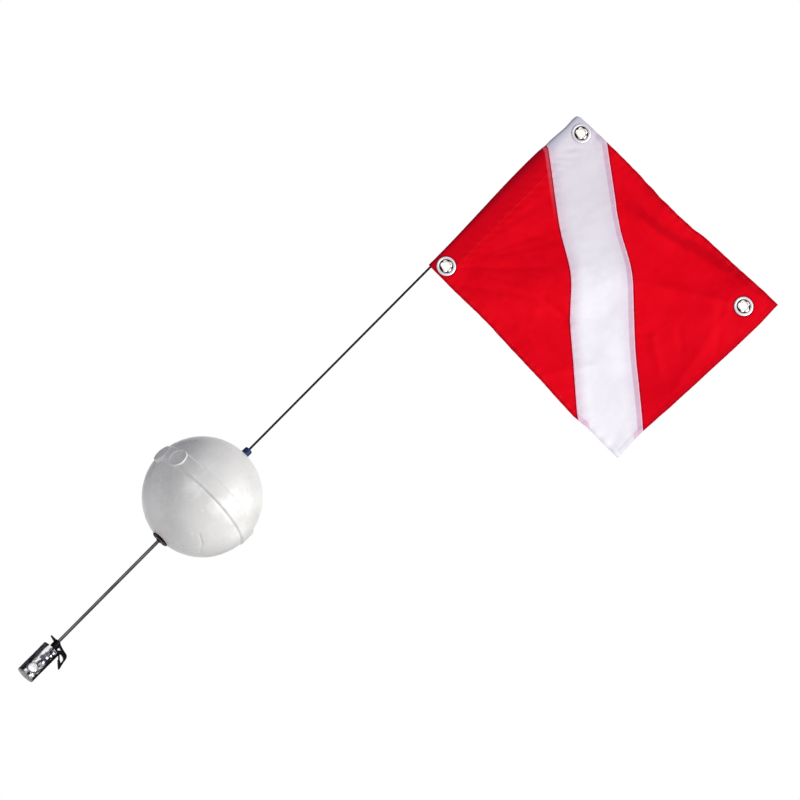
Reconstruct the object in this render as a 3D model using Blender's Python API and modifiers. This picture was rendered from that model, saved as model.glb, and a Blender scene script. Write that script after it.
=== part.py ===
"""Dive flag float: a foam ball on a weighted tube, with a flag on a rod and a line clip.

Run it with blender --background --python part.py, or from Blender's text editor.
Everything is in metres. The pole stands along +Z, the flag flies towards +X, and the
origin is at the middle of the ball, where the water's surface would be.
"""

import math

import bmesh
import bpy
from mathutils import Vector

MM = 0.001

# General values
GAP = 0.3 * MM
OVERRUN = 5 * MM
MERGE = 0.01 * MM
ROUND_STEPS = 24
FINE_STEPS = 48
SHARP_ANGLE = math.radians(32)

# Upper rod, the tube round it, and the crimp in the tube that stops it
ROD_R = 1.59 * MM
ROD_TOP_SHARE = 0.938
TUBE_WALL = 0.48 * MM
TUBE_RISE = 7.5 * MM
CRIMP_SQUEEZE = 0.63 * MM
CRIMP_LEDGE = 0.49 * MM
CRIMP_LENGTH = 4 * MM
SOCKET_DEPTH = 112 * MM
TIP_CAP_LENGTH = 12 * MM
TIP_CAP_WALL = 0.5 * MM
TIP_CAP_LID = 1.2 * MM

# Foam ball
BALL_R = 84.95 * MM
BELT_RISE = 1.55 * MM
BELT_WIDTH = 21.8 * MM
BELT_OFFSET = 3.1 * MM
BELT_EDGE = 0.7 * MM
BALL_ARC_STEPS = 11
RUN_GAP = 0.37 * MM
LINER_WALL = 1.25 * MM
LINER_FLANGE_R = 14.6 * MM
LINER_FLANGE = 1.2 * MM
TOP_SEAT_R = 8.5 * MM
BOSS_R = 14.6 * MM
BOSS_RISE = 1.7 * MM
BOSS_ANGLE = math.radians(-136.4)
BOSS_OFFSET = 1.9 * MM
LIMB_BOSS_ANGLE = math.radians(-162)
LIMB_BOSS_OFFSET = -2.4 * MM
BOSS_BEVEL = 0.6 * MM
BOSS_STEPS = 30

# Washer and push nut under the ball, and the cap above it
LINER_RIM = 1.7 * MM
WASHER_THICK = 1.6 * MM
NUT_REACH = 3.2 * MM
NUT_HUB = 0.6 * MM
NUT_THICK = 0.9 * MM
NUT_RISE = 1.5 * MM
CAP_WALL = 3.55 * MM
CAP_LID = 3.3 * MM
CAP_ROUND = 1.6 * MM
CAP_DRAFT = 0.35 * MM

# Weight
WEIGHT_R = 13.75 * MM
WEIGHT_LENGTH = 54 * MM
WEIGHT_TOP_Z = -306.5 * MM
WEIGHT_CHAMFER = 1.5 * MM
CROSS_HOLE_R = 5.9 * MM
CROSS_HOLE_RISE = 13.9 * MM
TUBE_SEAT_DEPTH = 27 * MM

# Line clip: bush, hook, gate and pin
BUSH_WALL = 0.85 * MM
BUSH_FLANGE_REACH = 1.4 * MM
BUSH_FLANGE = 1.3 * MM
BUSH_LIP_REACH = 0.7 * MM
BUSH_LIP = 0.6 * MM
EYE_WALL = 1.1 * MM
EYE_HEIGHT = 11.8 * MM
HOOK_REACH = 28.3 * MM
HOOK_DROP = 27.7 * MM
HOOK_THICK = 6.4 * MM
HOOK_BEVEL = 0.5 * MM
GATE_DEPTH = 2.2 * MM
GATE_WIDTH = 3.0 * MM
GATE_EYE_WALL = 1.15 * MM
PIN_R = 0.75 * MM
PIVOT_SHARE = (0.392, -0.372)
NOSE_END_SHARE = (0.6885, -0.6625)

# The hook's outline, as shares of its reach from the tube and of its drop
HOOK_OUTLINE_SHARES = (
    (-0.473, -0.011),
    (-0.212, -0.002),
    (0.000, 0.000),
    (0.177, -0.025),
    (0.424, -0.116),
    (0.636, -0.159),
    (0.763, -0.195),
    (0.845, -0.274),
    (0.890, -0.426),
    (0.912, -0.599),
    (0.951, -0.787),
    (1.000, -0.946),
    (0.986, -0.989),
    (0.943, -1.000),
    (0.647, -0.729),
    (0.597, -0.684),
    (0.618, -0.664),
    (0.654, -0.699),
    (0.723, -0.626),
    (0.827, -0.729),
    (0.806, -0.585),
    (0.795, -0.433),
    (0.756, -0.332),
    (0.693, -0.285),
    (0.622, -0.282),
    (0.551, -0.314),
    (0.496, -0.379),
    (0.470, -0.440),
    (0.410, -0.475),
    (0.339, -0.462),
    (0.269, -0.430),
    (0.163, -0.401),
    (-0.120, -0.401),
    (-0.138, -0.137),
    (-0.463, -0.101),
)
HOOK_WINDOW_SHARES = (
    (0.233, -0.173),
    (0.346, -0.199),
    (0.456, -0.242),
    (0.367, -0.267),
    (0.311, -0.307),
    (0.290, -0.354),
    (0.233, -0.336),
)

# Flag: flat sizes of the cloth
CLOTH = 0.5 * MM
LAYER_SLACK = 0.12 * MM
FLAG_HOIST = 304.8 * MM
FLAG_FLY = 381 * MM
SLEEVE_FLAT = 30 * MM
SEAM_ALLOWANCE = 6 * MM
STRIPE_FOOT_U = 304 * MM
STRIPE_LEFT_DOWN = 61.8 * MM
STRIPE_RIGHT_U = 54.5 * MM
STRIPE_RIGHT_W = 50.5 * MM

# Flag: where its corners are, from the pole and from its lower hoist corner
FLAG_BOTTOM_Z = 467 * MM
HOIST_X = -3.5 * MM
TOP_HOIST_X = -3.4 * MM
TOP_FLY_PULL = 3.5 * MM
TOP_FLY_RISE = 8.2 * MM
LOW_FLY_TUCK = 5 * MM
LOW_FLY_DROP = 6.2 * MM
SLEEVE_BELLY = 5.2 * MM
SLEEVE_BELLY_POWER = 1.5

# Flag: main folds, a ridge between the grommets and waves beside it
RIDGE_HEIGHT = 15 * MM
RIDGE_WIDTH = 52 * MM
RIDGE_BEND_X = 190 * MM
RIDGE_BEND_RUN = 165 * MM
RIDGE_BEND_DROP = 80 * MM
DRAW_SHIFT = 8 * MM
DRAW_WIDTH = 52 * MM
FOLD_START_X = 24 * MM
FOLD_RUN = 75 * MM
FLY_FOLD_SHARE = 0.35
WAVE_HEIGHT = 5 * MM
WAVE_LENGTH = 120 * MM
EDGE_WAVE_HEIGHT = 8 * MM
EDGE_WAVE_X = 235 * MM
EDGE_WAVE_RUN = 55 * MM
EDGE_WAVE_DEPTH = 60 * MM
CORNER_CURL = 13 * MM
CORNER_CURL_RUN = 110 * MM
FLAT_SPOT_R = 15 * MM
FLAT_SPOT_FADE = 34 * MM

# Flag: the sleeve's back goes round the rod, as shares of its radius or of a half turn
WRAP_TURN_SHARE = 0.94
WRAP_WIDE_SHARE = 1.13
WRAP_DEEP_SHARE = 1.1
TAIL_START_SHARE = 1.8
WRAP_STEP_SHARE = 1.0

# Flag: columns of the cloth's grid on each stretch across it, and rows up it
TAIL_COLUMNS = 3
STEP_COLUMNS = 1
WRAP_COLUMNS = 5
NOSE_COLUMNS = 3
SLEEVE_COLUMNS = 3
FIELD_COLUMNS = 22
CLOTH_ROWS = 20

# Grommets: places in from the pole or the fly edge, and from the flag's foot or its top
HOIST_GROMMET_IN = 15 * MM
HOIST_GROMMET_UP = 15.3 * MM
TOP_GROMMET_IN = 18.2 * MM
TOP_GROMMET_DOWN = 15.4 * MM
FLY_GROMMET_IN = 32.5 * MM
FLY_GROMMET_DOWN = 29.8 * MM
EYELET_BORE_R = 6.15 * MM
EYELET_WALL = 0.7 * MM
EYELET_REACH = 3.65 * MM
EYELET_FLANGE = 0.7 * MM
ROLL_REACH = 2.25 * MM
ROLL_HEIGHT = 1.1 * MM
ROLL_NOTCHES = 7
NOTCH_WIDTH = 0.7 * MM
GROMMET_WASHER_REACH = 6.85 * MM
GROMMET_WASHER = 0.8 * MM
GROMMET_WASHER_EDGE = 0.3 * MM
GROMMET_STEPS = 24

# Colours
FOAM_COLOUR = (0.84, 0.84, 0.86, 1)
STEEL_COLOUR = (0.66, 0.66, 0.68, 1)
TUBE_COLOUR = (0.42, 0.42, 0.44, 1)
BLACK_COLOUR = (0.012, 0.012, 0.014, 1)
NAVY_COLOUR = (0.010, 0.035, 0.110, 1)
LINER_COLOUR = (0.70, 0.62, 0.60, 1)
RED_COLOUR = (0.70, 0.004, 0.012, 1)
WHITE_COLOUR = (0.82, 0.79, 0.86, 1)
NICKEL_COLOUR = (0.72, 0.71, 0.70, 1)
BRASS_COLOUR = (0.45, 0.33, 0.16, 1)

# Sizes that follow from the ones above
TUBE_BORE_R = ROD_R + GAP
TUBE_R = TUBE_BORE_R + TUBE_WALL
CRIMP_OUTER_R = TUBE_R - CRIMP_SQUEEZE
CRIMP_BORE_R = ROD_R - CRIMP_LEDGE
ROD_TOP_Z = FLAG_BOTTOM_Z + ROD_TOP_SHARE * FLAG_HOIST
TIP_CAP_R = ROD_R + GAP + TIP_CAP_WALL
BELT_R = BALL_R + BELT_RISE
BELT_TOP_Z = BELT_OFFSET + BELT_WIDTH / 2
BELT_FOOT_Z = BELT_OFFSET - BELT_WIDTH / 2
LINER_BORE_R = TUBE_R + RUN_GAP
LINER_R = LINER_BORE_R + LINER_WALL
WASHER_R = LINER_FLANGE_R - LINER_RIM
NUT_BORE_R = TUBE_R + GAP
NUT_HUB_R = NUT_BORE_R + NUT_THICK + NUT_HUB
NUT_R = NUT_BORE_R + NUT_THICK + NUT_REACH
CAP_R = TUBE_R + GAP + CAP_WALL
LOW_SEAT_Z = -math.sqrt(BALL_R**2 - (LINER_FLANGE_R + GAP) ** 2)
TOP_SEAT_Z = math.sqrt(BALL_R**2 - TOP_SEAT_R**2)
LINER_FLANGE_Z = LOW_SEAT_Z - GAP - LINER_FLANGE
WASHER_Z = LINER_FLANGE_Z - GAP - WASHER_THICK
NUT_Z = WASHER_Z - GAP - NUT_THICK
TUBE_TOP_Z = TOP_SEAT_Z + TUBE_RISE
CAP_TOP_Z = TUBE_TOP_Z + GAP + CAP_LID
SOCKET_FLOOR_Z = TUBE_TOP_Z - SOCKET_DEPTH
WEIGHT_FOOT_Z = WEIGHT_TOP_Z - WEIGHT_LENGTH
TUBE_FOOT_Z = WEIGHT_TOP_Z - TUBE_SEAT_DEPTH
BUSH_BORE_R = TUBE_R + RUN_GAP
BUSH_R = BUSH_BORE_R + BUSH_WALL
BUSH_FLANGE_R = BUSH_R + BUSH_FLANGE_REACH
BUSH_LIP_R = BUSH_R + BUSH_LIP_REACH
EYE_R = BUSH_R + GAP + EYE_WALL
BUSH_Z = WEIGHT_TOP_Z + GAP
EYE_FOOT_Z = BUSH_Z + BUSH_FLANGE + GAP
HOOK_TOP_Z = EYE_FOOT_Z + EYE_HEIGHT
BUSH_TOP_Z = HOOK_TOP_Z + GAP + BUSH_LIP
PIVOT_X = PIVOT_SHARE[0] * HOOK_REACH
PIVOT_Z = HOOK_TOP_Z + PIVOT_SHARE[1] * HOOK_DROP
NOSE_RUN = (NOSE_END_SHARE[0] - PIVOT_SHARE[0]) * HOOK_REACH
NOSE_FALL = (NOSE_END_SHARE[1] - PIVOT_SHARE[1]) * HOOK_DROP
GATE_LENGTH = math.hypot(NOSE_RUN, NOSE_FALL) - GAP
GATE_TILT = math.atan2(NOSE_FALL, NOSE_RUN)
GATE_EYE_R = PIN_R + GAP + GATE_EYE_WALL
TOP_FLY_X = FLAG_FLY + TOP_FLY_PULL
LOW_FLY_X = FLAG_FLY - LOW_FLY_TUCK
SLEEVE_R = ROD_R + 2 * GAP + CLOTH / 2
FLAG_Y = -SLEEVE_R
LAYER = CLOTH + GAP + LAYER_SLACK
HOIST_GROMMET = (HOIST_GROMMET_IN, HOIST_GROMMET_UP)
TOP_GROMMET = (TOP_GROMMET_IN, FLAG_HOIST - TOP_GROMMET_DOWN)
FLY_GROMMET = (TOP_FLY_X - FLY_GROMMET_IN, FLAG_HOIST - FLY_GROMMET_DOWN)
BARREL_R = EYELET_BORE_R + EYELET_WALL
EYELET_FLANGE_R = BARREL_R + EYELET_REACH
ROLL_R = BARREL_R + ROLL_REACH
GROMMET_WASHER_R = BARREL_R + GROMMET_WASHER_REACH
CLOTH_HOLE_R = BARREL_R + GAP
NOSE_FLAT = -HOIST_X
WRAP_FLAT = math.pi * SLEEVE_R
TAIL_FLAT = WRAP_FLAT + WRAP_STEP_SHARE * SLEEVE_R
TAIL_START_X = TAIL_START_SHARE * SLEEVE_R
TAIL_END_X = SLEEVE_FLAT + HOIST_X
TAIL_Y = FLAG_Y + LAYER


def clear_scene():
    """Remove what the scene holds, and what is left of an earlier run."""
    for obj in list(bpy.data.objects):
        bpy.data.objects.remove(obj, do_unlink=True)
    for collection in list(bpy.data.collections):
        bpy.data.collections.remove(collection)


def new_collection(name):
    collection = bpy.data.collections.new(name)
    bpy.context.scene.collection.children.link(collection)
    return collection


def new_material(name, colour, roughness, metallic):
    material = bpy.data.materials.new(name)
    material.use_nodes = True
    shader = material.node_tree.nodes["Principled BSDF"]
    shader.inputs["Base Color"].default_value = colour
    shader.inputs["Roughness"].default_value = roughness
    shader.inputs["Metallic"].default_value = metallic
    material.diffuse_color = colour
    return material


def add_object(name, mesh, collection, material=None, origin=(0, 0, 0)):
    obj = bpy.data.objects.new(name, mesh)
    obj.location = origin
    collection.objects.link(obj)
    if material:
        mesh.materials.append(material)
    return obj


def mesh_from(bm, name):
    mesh = bpy.data.meshes.new(name)
    bm.to_mesh(mesh)
    bm.free()
    mesh.shade_smooth()
    mesh.set_sharp_from_angle(angle=SHARP_ANGLE)
    return mesh


def turned(name, profile, collection, material, steps=ROUND_STEPS, closed=True, origin=(0, 0, 0)):
    """A piece turned about Z. The profile holds radii and heights, and its outer side runs
    from top to bottom. It is a closed loop, or its two ends lie on the axis."""
    mesh = bpy.data.meshes.new(name)
    points = [(radius, 0, height) for radius, height in profile]
    edges = [(i, i + 1) for i in range(len(points) - 1)]
    if closed:
        edges.append((len(points) - 1, 0))
    mesh.from_pydata(points, edges, [])
    obj = add_object(name, mesh, collection, material, origin)
    screw = obj.modifiers.new("turn", "SCREW")
    screw.angle = math.tau
    screw.steps = steps
    screw.render_steps = steps
    screw.use_merge_vertices = True
    screw.merge_threshold = MERGE
    screw.use_smooth_shade = True
    return obj


def cylinder_cutter(name, radius, start, end, collection, steps=ROUND_STEPS):
    """A cylinder between two points, to cut a hole with or to join on."""
    start = Vector(start)
    end = Vector(end)
    along = end - start
    bm = bmesh.new()
    bmesh.ops.create_cone(
        bm, cap_ends=True, segments=steps, radius1=radius, radius2=radius, depth=along.length
    )
    mesh = mesh_from(bm, name)
    obj = add_object(name, mesh, collection)
    obj.location = (start + end) / 2
    obj.rotation_mode = "QUATERNION"
    obj.rotation_quaternion = along.to_track_quat("Z", "Y")
    hide_cutter(obj)
    return obj


def hide_cutter(obj):
    obj.hide_render = True
    obj.display_type = "WIRE"


def cut(obj, cutter, operation="DIFFERENCE"):
    modifier = obj.modifiers.new(cutter.name, "BOOLEAN")
    modifier.operation = operation
    modifier.solver = "EXACT"
    modifier.object = cutter


def box_cutter(name, size, centre, collection, angle_y=0):
    bm = bmesh.new()
    bmesh.ops.create_cube(bm, size=1)
    bmesh.ops.scale(bm, vec=size, verts=bm.verts)
    obj = add_object(name, mesh_from(bm, name), collection)
    obj.location = centre
    obj.rotation_euler = (0, angle_y, 0)
    hide_cutter(obj)
    return obj


def plate_mesh(name, outlines, thickness):
    """A flat plate in the XZ plane: the first outline is its edge, and the rest are holes."""
    curve = bpy.data.curves.new(name, "CURVE")
    curve.dimensions = "2D"
    curve.fill_mode = "BOTH"
    curve.extrude = thickness / 2
    for outline in outlines:
        spline = curve.splines.new("POLY")
        spline.points.add(len(outline) - 1)
        for point, (across, up) in zip(spline.points, outline):
            point.co = (across, up, 0, 1)
        spline.use_cyclic_u = True
    flat = bpy.data.objects.new(name, curve)
    bpy.context.scene.collection.objects.link(flat)
    bpy.context.view_layer.update()
    evaluated = flat.evaluated_get(bpy.context.evaluated_depsgraph_get())
    mesh = bpy.data.meshes.new_from_object(evaluated)
    bpy.data.objects.remove(flat, do_unlink=True)
    bpy.data.curves.remove(curve)
    bm = bmesh.new()
    bm.from_mesh(mesh)
    bmesh.ops.remove_doubles(bm, verts=bm.verts, dist=MERGE)
    for vert in bm.verts:
        vert.co = Vector((vert.co.x, -vert.co.z, vert.co.y))
    bmesh.ops.recalc_face_normals(bm, faces=bm.faces)
    bm.to_mesh(mesh)
    bm.free()
    mesh.shade_smooth()
    mesh.set_sharp_from_angle(angle=SHARP_ANGLE)
    return mesh


# Pole

def make_lower_tube(parts, material):
    crimp_top = SOCKET_FLOOR_Z
    crimp_foot = SOCKET_FLOOR_Z - CRIMP_LENGTH
    shoulder = TUBE_R - CRIMP_OUTER_R
    profile = [
        (TUBE_R, TUBE_TOP_Z),
        (TUBE_R, crimp_top + shoulder),
        (CRIMP_OUTER_R, crimp_top - shoulder),
        (CRIMP_OUTER_R, crimp_foot + shoulder),
        (TUBE_R, crimp_foot - shoulder),
        (TUBE_R, TUBE_FOOT_Z + GAP),
        (TUBE_BORE_R, TUBE_FOOT_Z + GAP),
        (TUBE_BORE_R, crimp_foot - shoulder),
        (CRIMP_BORE_R, crimp_foot + shoulder),
        (CRIMP_BORE_R, crimp_top - shoulder),
        (TUBE_BORE_R, crimp_top + shoulder),
        (TUBE_BORE_R, TUBE_TOP_Z),
    ]
    return turned("lower_tube", profile, parts, material)


def make_upper_rod(parts, material):
    foot = SOCKET_FLOOR_Z + (TUBE_R - CRIMP_OUTER_R) + GAP
    profile = [(0, ROD_TOP_Z), (ROD_R, ROD_TOP_Z), (ROD_R, foot), (0, foot)]
    return turned("upper_rod", profile, parts, material, closed=False)


def make_rod_tip_cap(parts, material):
    bore = ROD_R + GAP
    floor = ROD_TOP_Z + GAP
    top = floor + TIP_CAP_LID
    round_off = TIP_CAP_R / 2
    profile = [
        (0, top),
        (TIP_CAP_R - round_off, top),
        (TIP_CAP_R, top - round_off),
        (TIP_CAP_R, top - TIP_CAP_LENGTH),
        (bore, top - TIP_CAP_LENGTH),
        (bore, floor),
        (0, floor),
    ]
    return turned("rod_tip_cap", profile, parts, material, closed=False)


def make_weight(parts, cutters, material):
    seat_r = TUBE_R + GAP
    profile = [
        (seat_r, WEIGHT_TOP_Z),
        (WEIGHT_R - WEIGHT_CHAMFER, WEIGHT_TOP_Z),
        (WEIGHT_R, WEIGHT_TOP_Z - WEIGHT_CHAMFER),
        (WEIGHT_R, WEIGHT_FOOT_Z + WEIGHT_CHAMFER),
        (WEIGHT_R - WEIGHT_CHAMFER, WEIGHT_FOOT_Z),
        (0, WEIGHT_FOOT_Z),
    ]
    profile = [(0, TUBE_FOOT_Z), (seat_r, TUBE_FOOT_Z)] + profile
    weight = turned("tow_weight", profile, parts, material, closed=False)
    hole_z = WEIGHT_FOOT_Z + CROSS_HOLE_RISE
    reach = WEIGHT_R + OVERRUN
    hole = cylinder_cutter(
        "cross_hole", CROSS_HOLE_R, (0, -reach, hole_z), (0, reach, hole_z), cutters
    )
    cut(weight, hole)
    return weight


# Float

def ball_arc(start_z, end_z):
    """The ball's round outline from one height down to another."""
    start = math.acos(start_z / BALL_R)
    end = math.acos(end_z / BALL_R)
    arc = []
    for step in range(BALL_ARC_STEPS + 1):
        angle = start + (end - start) * step / BALL_ARC_STEPS
        arc.append((BALL_R * math.sin(angle), BALL_R * math.cos(angle)))
    return arc


def ball_profile():
    """From the top seat down the outside to the low seat, then up the bore."""
    bore = LINER_R + GAP
    belt = [
        (BELT_R - BELT_EDGE, BELT_TOP_Z),
        (BELT_R, BELT_TOP_Z - BELT_EDGE),
        (BELT_R, BELT_FOOT_Z + BELT_EDGE),
        (BELT_R - BELT_EDGE, BELT_FOOT_Z),
    ]
    upper = ball_arc(TOP_SEAT_Z, BELT_TOP_Z)
    lower = ball_arc(BELT_FOOT_Z, LOW_SEAT_Z)
    return [(bore, TOP_SEAT_Z)] + upper + belt + lower + [(bore, LOW_SEAT_Z)]


def make_foam_ball(parts, cutters, material):
    ball = turned("foam_ball", ball_profile(), parts, material, steps=FINE_STEPS)
    bosses = ((BOSS_ANGLE, BOSS_OFFSET), (LIMB_BOSS_ANGLE, LIMB_BOSS_OFFSET))
    for number, (angle, offset) in enumerate(bosses):
        outward = Vector((math.cos(angle), math.sin(angle), 0))
        middle = Vector((0, 0, offset))
        boss = cylinder_cutter(
            f"filling_boss_{number}",
            BOSS_R,
            middle + outward * (BELT_R - BOSS_R),
            middle + outward * (BELT_R + BOSS_RISE),
            cutters,
            steps=BOSS_STEPS,
        )
        bevel = boss.modifiers.new("edge", "BEVEL")
        bevel.width = BOSS_BEVEL
        bevel.segments = 2
        cut(ball, boss, "UNION")
    return ball


def make_bore_liner(parts, material):
    profile = [
        (LINER_R, TOP_SEAT_Z),
        (LINER_R, LOW_SEAT_Z - GAP),
        (LINER_FLANGE_R, LOW_SEAT_Z - GAP),
        (LINER_FLANGE_R, LINER_FLANGE_Z),
        (LINER_BORE_R, LINER_FLANGE_Z),
        (LINER_BORE_R, TOP_SEAT_Z),
    ]
    return turned("bore_liner", profile, parts, material)


def make_washer(parts, material):
    top = WASHER_Z + WASHER_THICK
    edge = WASHER_THICK / 3
    profile = [
        (LINER_BORE_R, top),
        (WASHER_R - edge, top),
        (WASHER_R, top - edge),
        (WASHER_R, WASHER_Z + edge),
        (WASHER_R - edge, WASHER_Z),
        (LINER_BORE_R, WASHER_Z),
    ]
    return turned("retainer_washer", profile, parts, material)


def make_push_nut(parts, material):
    bore = NUT_BORE_R
    top = NUT_Z + NUT_THICK
    profile = [
        (NUT_HUB_R, top),
        (NUT_R, top),
        (NUT_R, NUT_Z),
        (NUT_HUB_R, NUT_Z),
        (bore + NUT_THICK, NUT_Z - NUT_RISE),
        (bore, NUT_Z - NUT_RISE),
        (bore, NUT_Z - NUT_RISE + NUT_THICK),
    ]
    return turned("push_nut", profile, parts, material)


def make_stop_cap(parts, material):
    foot = TOP_SEAT_Z + GAP
    pocket = TUBE_R + GAP
    floor = TUBE_TOP_Z + GAP
    rod_hole = ROD_R + GAP
    profile = [
        (rod_hole, CAP_TOP_Z),
        (CAP_R - CAP_ROUND - CAP_DRAFT, CAP_TOP_Z),
        (CAP_R - CAP_DRAFT, CAP_TOP_Z - CAP_ROUND),
        (CAP_R, foot),
        (pocket, foot),
        (pocket, floor),
        (rod_hole, floor),
    ]
    return turned("stop_cap", profile, parts, material)


# Line clip

def hook_point(share):
    return share[0] * HOOK_REACH, share[1] * HOOK_DROP


def make_clip_bush(parts, material):
    profile = [
        (BUSH_LIP_R, BUSH_TOP_Z),
        (BUSH_LIP_R, BUSH_TOP_Z - BUSH_LIP),
        (BUSH_R, BUSH_TOP_Z - BUSH_LIP),
        (BUSH_R, BUSH_Z + BUSH_FLANGE),
        (BUSH_FLANGE_R, BUSH_Z + BUSH_FLANGE),
        (BUSH_FLANGE_R, BUSH_Z),
        (BUSH_BORE_R, BUSH_Z),
        (BUSH_BORE_R, BUSH_TOP_Z),
    ]
    return turned("clip_bush", profile, parts, material)


def make_clip_hook(parts, cutters, material):
    """A plate in the plane of the pole, joined to an eye that turns on the bush."""
    outlines = [
        [hook_point(share) for share in HOOK_OUTLINE_SHARES],
        [hook_point(share) for share in HOOK_WINDOW_SHARES],
    ]
    mesh = plate_mesh("clip_hook", outlines, HOOK_THICK)
    hook = add_object("clip_hook", mesh, parts, material, (0, 0, HOOK_TOP_Z))
    bevel = hook.modifiers.new("edges", "BEVEL")
    bevel.width = HOOK_BEVEL
    bevel.segments = 1
    bevel.limit_method = "ANGLE"
    bevel.angle_limit = SHARP_ANGLE * 2
    eye = cylinder_cutter(
        "clip_eye", EYE_R, (0, 0, EYE_FOOT_Z), (0, 0, HOOK_TOP_Z), cutters
    )
    cut(hook, eye, "UNION")
    bore = cylinder_cutter(
        "clip_eye_bore",
        BUSH_R + GAP,
        (0, 0, EYE_FOOT_Z - OVERRUN),
        (0, 0, HOOK_TOP_Z + OVERRUN),
        cutters,
    )
    cut(hook, bore)
    slot_r = GATE_EYE_R + 2 * GAP
    slot = cylinder_cutter(
        "gate_slot",
        slot_r,
        (PIVOT_X, -GATE_WIDTH / 2 - GAP, PIVOT_Z),
        (PIVOT_X, GATE_WIDTH / 2 + GAP, PIVOT_Z),
        cutters,
    )
    cut(hook, slot)
    run = GATE_LENGTH / 2
    channel = box_cutter(
        "gate_channel",
        (run, GATE_WIDTH + 2 * GAP, 2 * slot_r),
        (
            PIVOT_X + math.cos(GATE_TILT) * run / 2,
            0,
            PIVOT_Z + math.sin(GATE_TILT) * run / 2,
        ),
        cutters,
        -GATE_TILT,
    )
    cut(hook, channel)
    pin_hole = cylinder_cutter(
        "gate_pin_hole",
        PIN_R + GAP,
        (PIVOT_X, -HOOK_THICK, PIVOT_Z),
        (PIVOT_X, HOOK_THICK, PIVOT_Z),
        cutters,
    )
    cut(hook, pin_hole)
    return hook


def make_clip_gate(parts, cutters, material):
    """A straight bar with an eye, whose origin is on its pin."""
    bm = bmesh.new()
    bmesh.ops.create_cone(
        bm,
        cap_ends=True,
        segments=ROUND_STEPS,
        radius1=GATE_EYE_R,
        radius2=GATE_EYE_R,
        depth=GATE_WIDTH,
    )
    for vert in bm.verts:
        vert.co = Vector((vert.co.x, vert.co.z, -vert.co.y))
    gate = add_object("clip_gate", mesh_from(bm, "clip_gate"), parts, material)
    gate.location = (PIVOT_X, 0, PIVOT_Z)
    gate.rotation_euler = (0, -GATE_TILT, 0)
    middle = GATE_LENGTH / 2
    bar = box_cutter(
        "gate_bar",
        (GATE_LENGTH, GATE_WIDTH, GATE_DEPTH),
        (
            PIVOT_X + math.cos(GATE_TILT) * middle,
            0,
            PIVOT_Z + math.sin(GATE_TILT) * middle,
        ),
        cutters,
        -GATE_TILT,
    )
    cut(gate, bar, "UNION")
    eye_bore = cylinder_cutter(
        "gate_eye_bore",
        PIN_R + GAP,
        (PIVOT_X, -HOOK_THICK, PIVOT_Z),
        (PIVOT_X, HOOK_THICK, PIVOT_Z),
        cutters,
    )
    cut(gate, eye_bore)
    return gate


def make_gate_pin(parts, material):
    length = HOOK_THICK - 2 * GAP
    bm = bmesh.new()
    bmesh.ops.create_cone(
        bm, cap_ends=True, segments=ROUND_STEPS, radius1=PIN_R, radius2=PIN_R, depth=length
    )
    pin = add_object("gate_pin", mesh_from(bm, "gate_pin"), parts, material)
    pin.location = (PIVOT_X, 0, PIVOT_Z)
    pin.rotation_euler = (math.pi / 2, 0, 0)
    return pin


# Flag

def smooth_share(value):
    value = min(max(value, 0), 1)
    return value * value * (3 - 2 * value)


def bell(value):
    return math.exp(-value * value)


def hoist_x(up_share):
    """The fold of the sleeve, which bellies away from the rod between its ends."""
    straight = HOIST_X + (TOP_HOIST_X - HOIST_X) * up_share
    return straight - SLEEVE_BELLY * math.sin(math.pi * up_share**SLEEVE_BELLY_POWER)


def ridge_z(x):
    """The ridge of cloth runs up from the hoist grommet, then bends to the fly grommet."""
    return x - RIDGE_BEND_DROP * smooth_share((x - RIDGE_BEND_X) / RIDGE_BEND_RUN)


def fold_window(x):
    """No fold at the sleeve or at the fly's edge."""
    rise = smooth_share((x - FOLD_START_X) / FOLD_RUN)
    fall = smooth_share((TOP_FLY_X - x) / FOLD_RUN)
    return rise * (FLY_FOLD_SHARE + (1 - FLY_FOLD_SHARE) * fall)


def raw_fold(x, z):
    """How far the cloth stands off the flag's plane: away from the viewer is positive."""
    across = (z - ridge_z(x)) / math.sqrt(2)
    ridge = -RIDGE_HEIGHT * bell(across / RIDGE_WIDTH)
    wave = WAVE_HEIGHT * math.sin(math.tau * across / WAVE_LENGTH)
    edge = (z - FLAG_HOIST) / EDGE_WAVE_DEPTH
    top_wave = EDGE_WAVE_HEIGHT * bell((x - EDGE_WAVE_X) / EDGE_WAVE_RUN) * bell(edge)
    from_corner = math.hypot(x - LOW_FLY_X, z + LOW_FLY_DROP)
    curl = CORNER_CURL * bell(from_corner / CORNER_CURL_RUN)
    return fold_window(x) * (ridge + wave + top_wave + curl)


def fold(x, z):
    """The folds, drawn flat under each grommet."""
    height = raw_fold(x, z)
    for place_x, place_z in (HOIST_GROMMET, TOP_GROMMET, FLY_GROMMET):
        away = math.hypot(x - place_x, z - place_z)
        share = smooth_share((away - FLAT_SPOT_R) / FLAT_SPOT_FADE)
        height = share * height + (1 - share) * raw_fold(place_x, place_z)
    return height


def in_field(across, up):
    """Where a flat point of the cloth lies: its X, and its height above the lower corner."""
    u_share = across / FLAG_FLY
    w_share = up / FLAG_HOIST
    low_x = HOIST_X + (LOW_FLY_X - HOIST_X) * u_share
    top_x = TOP_HOIST_X + (TOP_FLY_X - TOP_HOIST_X) * u_share
    low_z = -LOW_FLY_DROP * u_share
    top_z = FLAG_HOIST + TOP_FLY_RISE * u_share
    x = low_x + (top_x - low_x) * w_share
    z = low_z + (top_z - low_z) * w_share
    draw = DRAW_SHIFT * bell((z - ridge_z(x)) / math.sqrt(2) / DRAW_WIDTH) * fold_window(x)
    edge_room = smooth_share(up / DRAW_WIDTH) * smooth_share((FLAG_HOIST - up) / DRAW_WIDTH)
    x += draw * edge_room / math.sqrt(2)
    z += draw * edge_room / math.sqrt(2)
    return x, z


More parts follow.
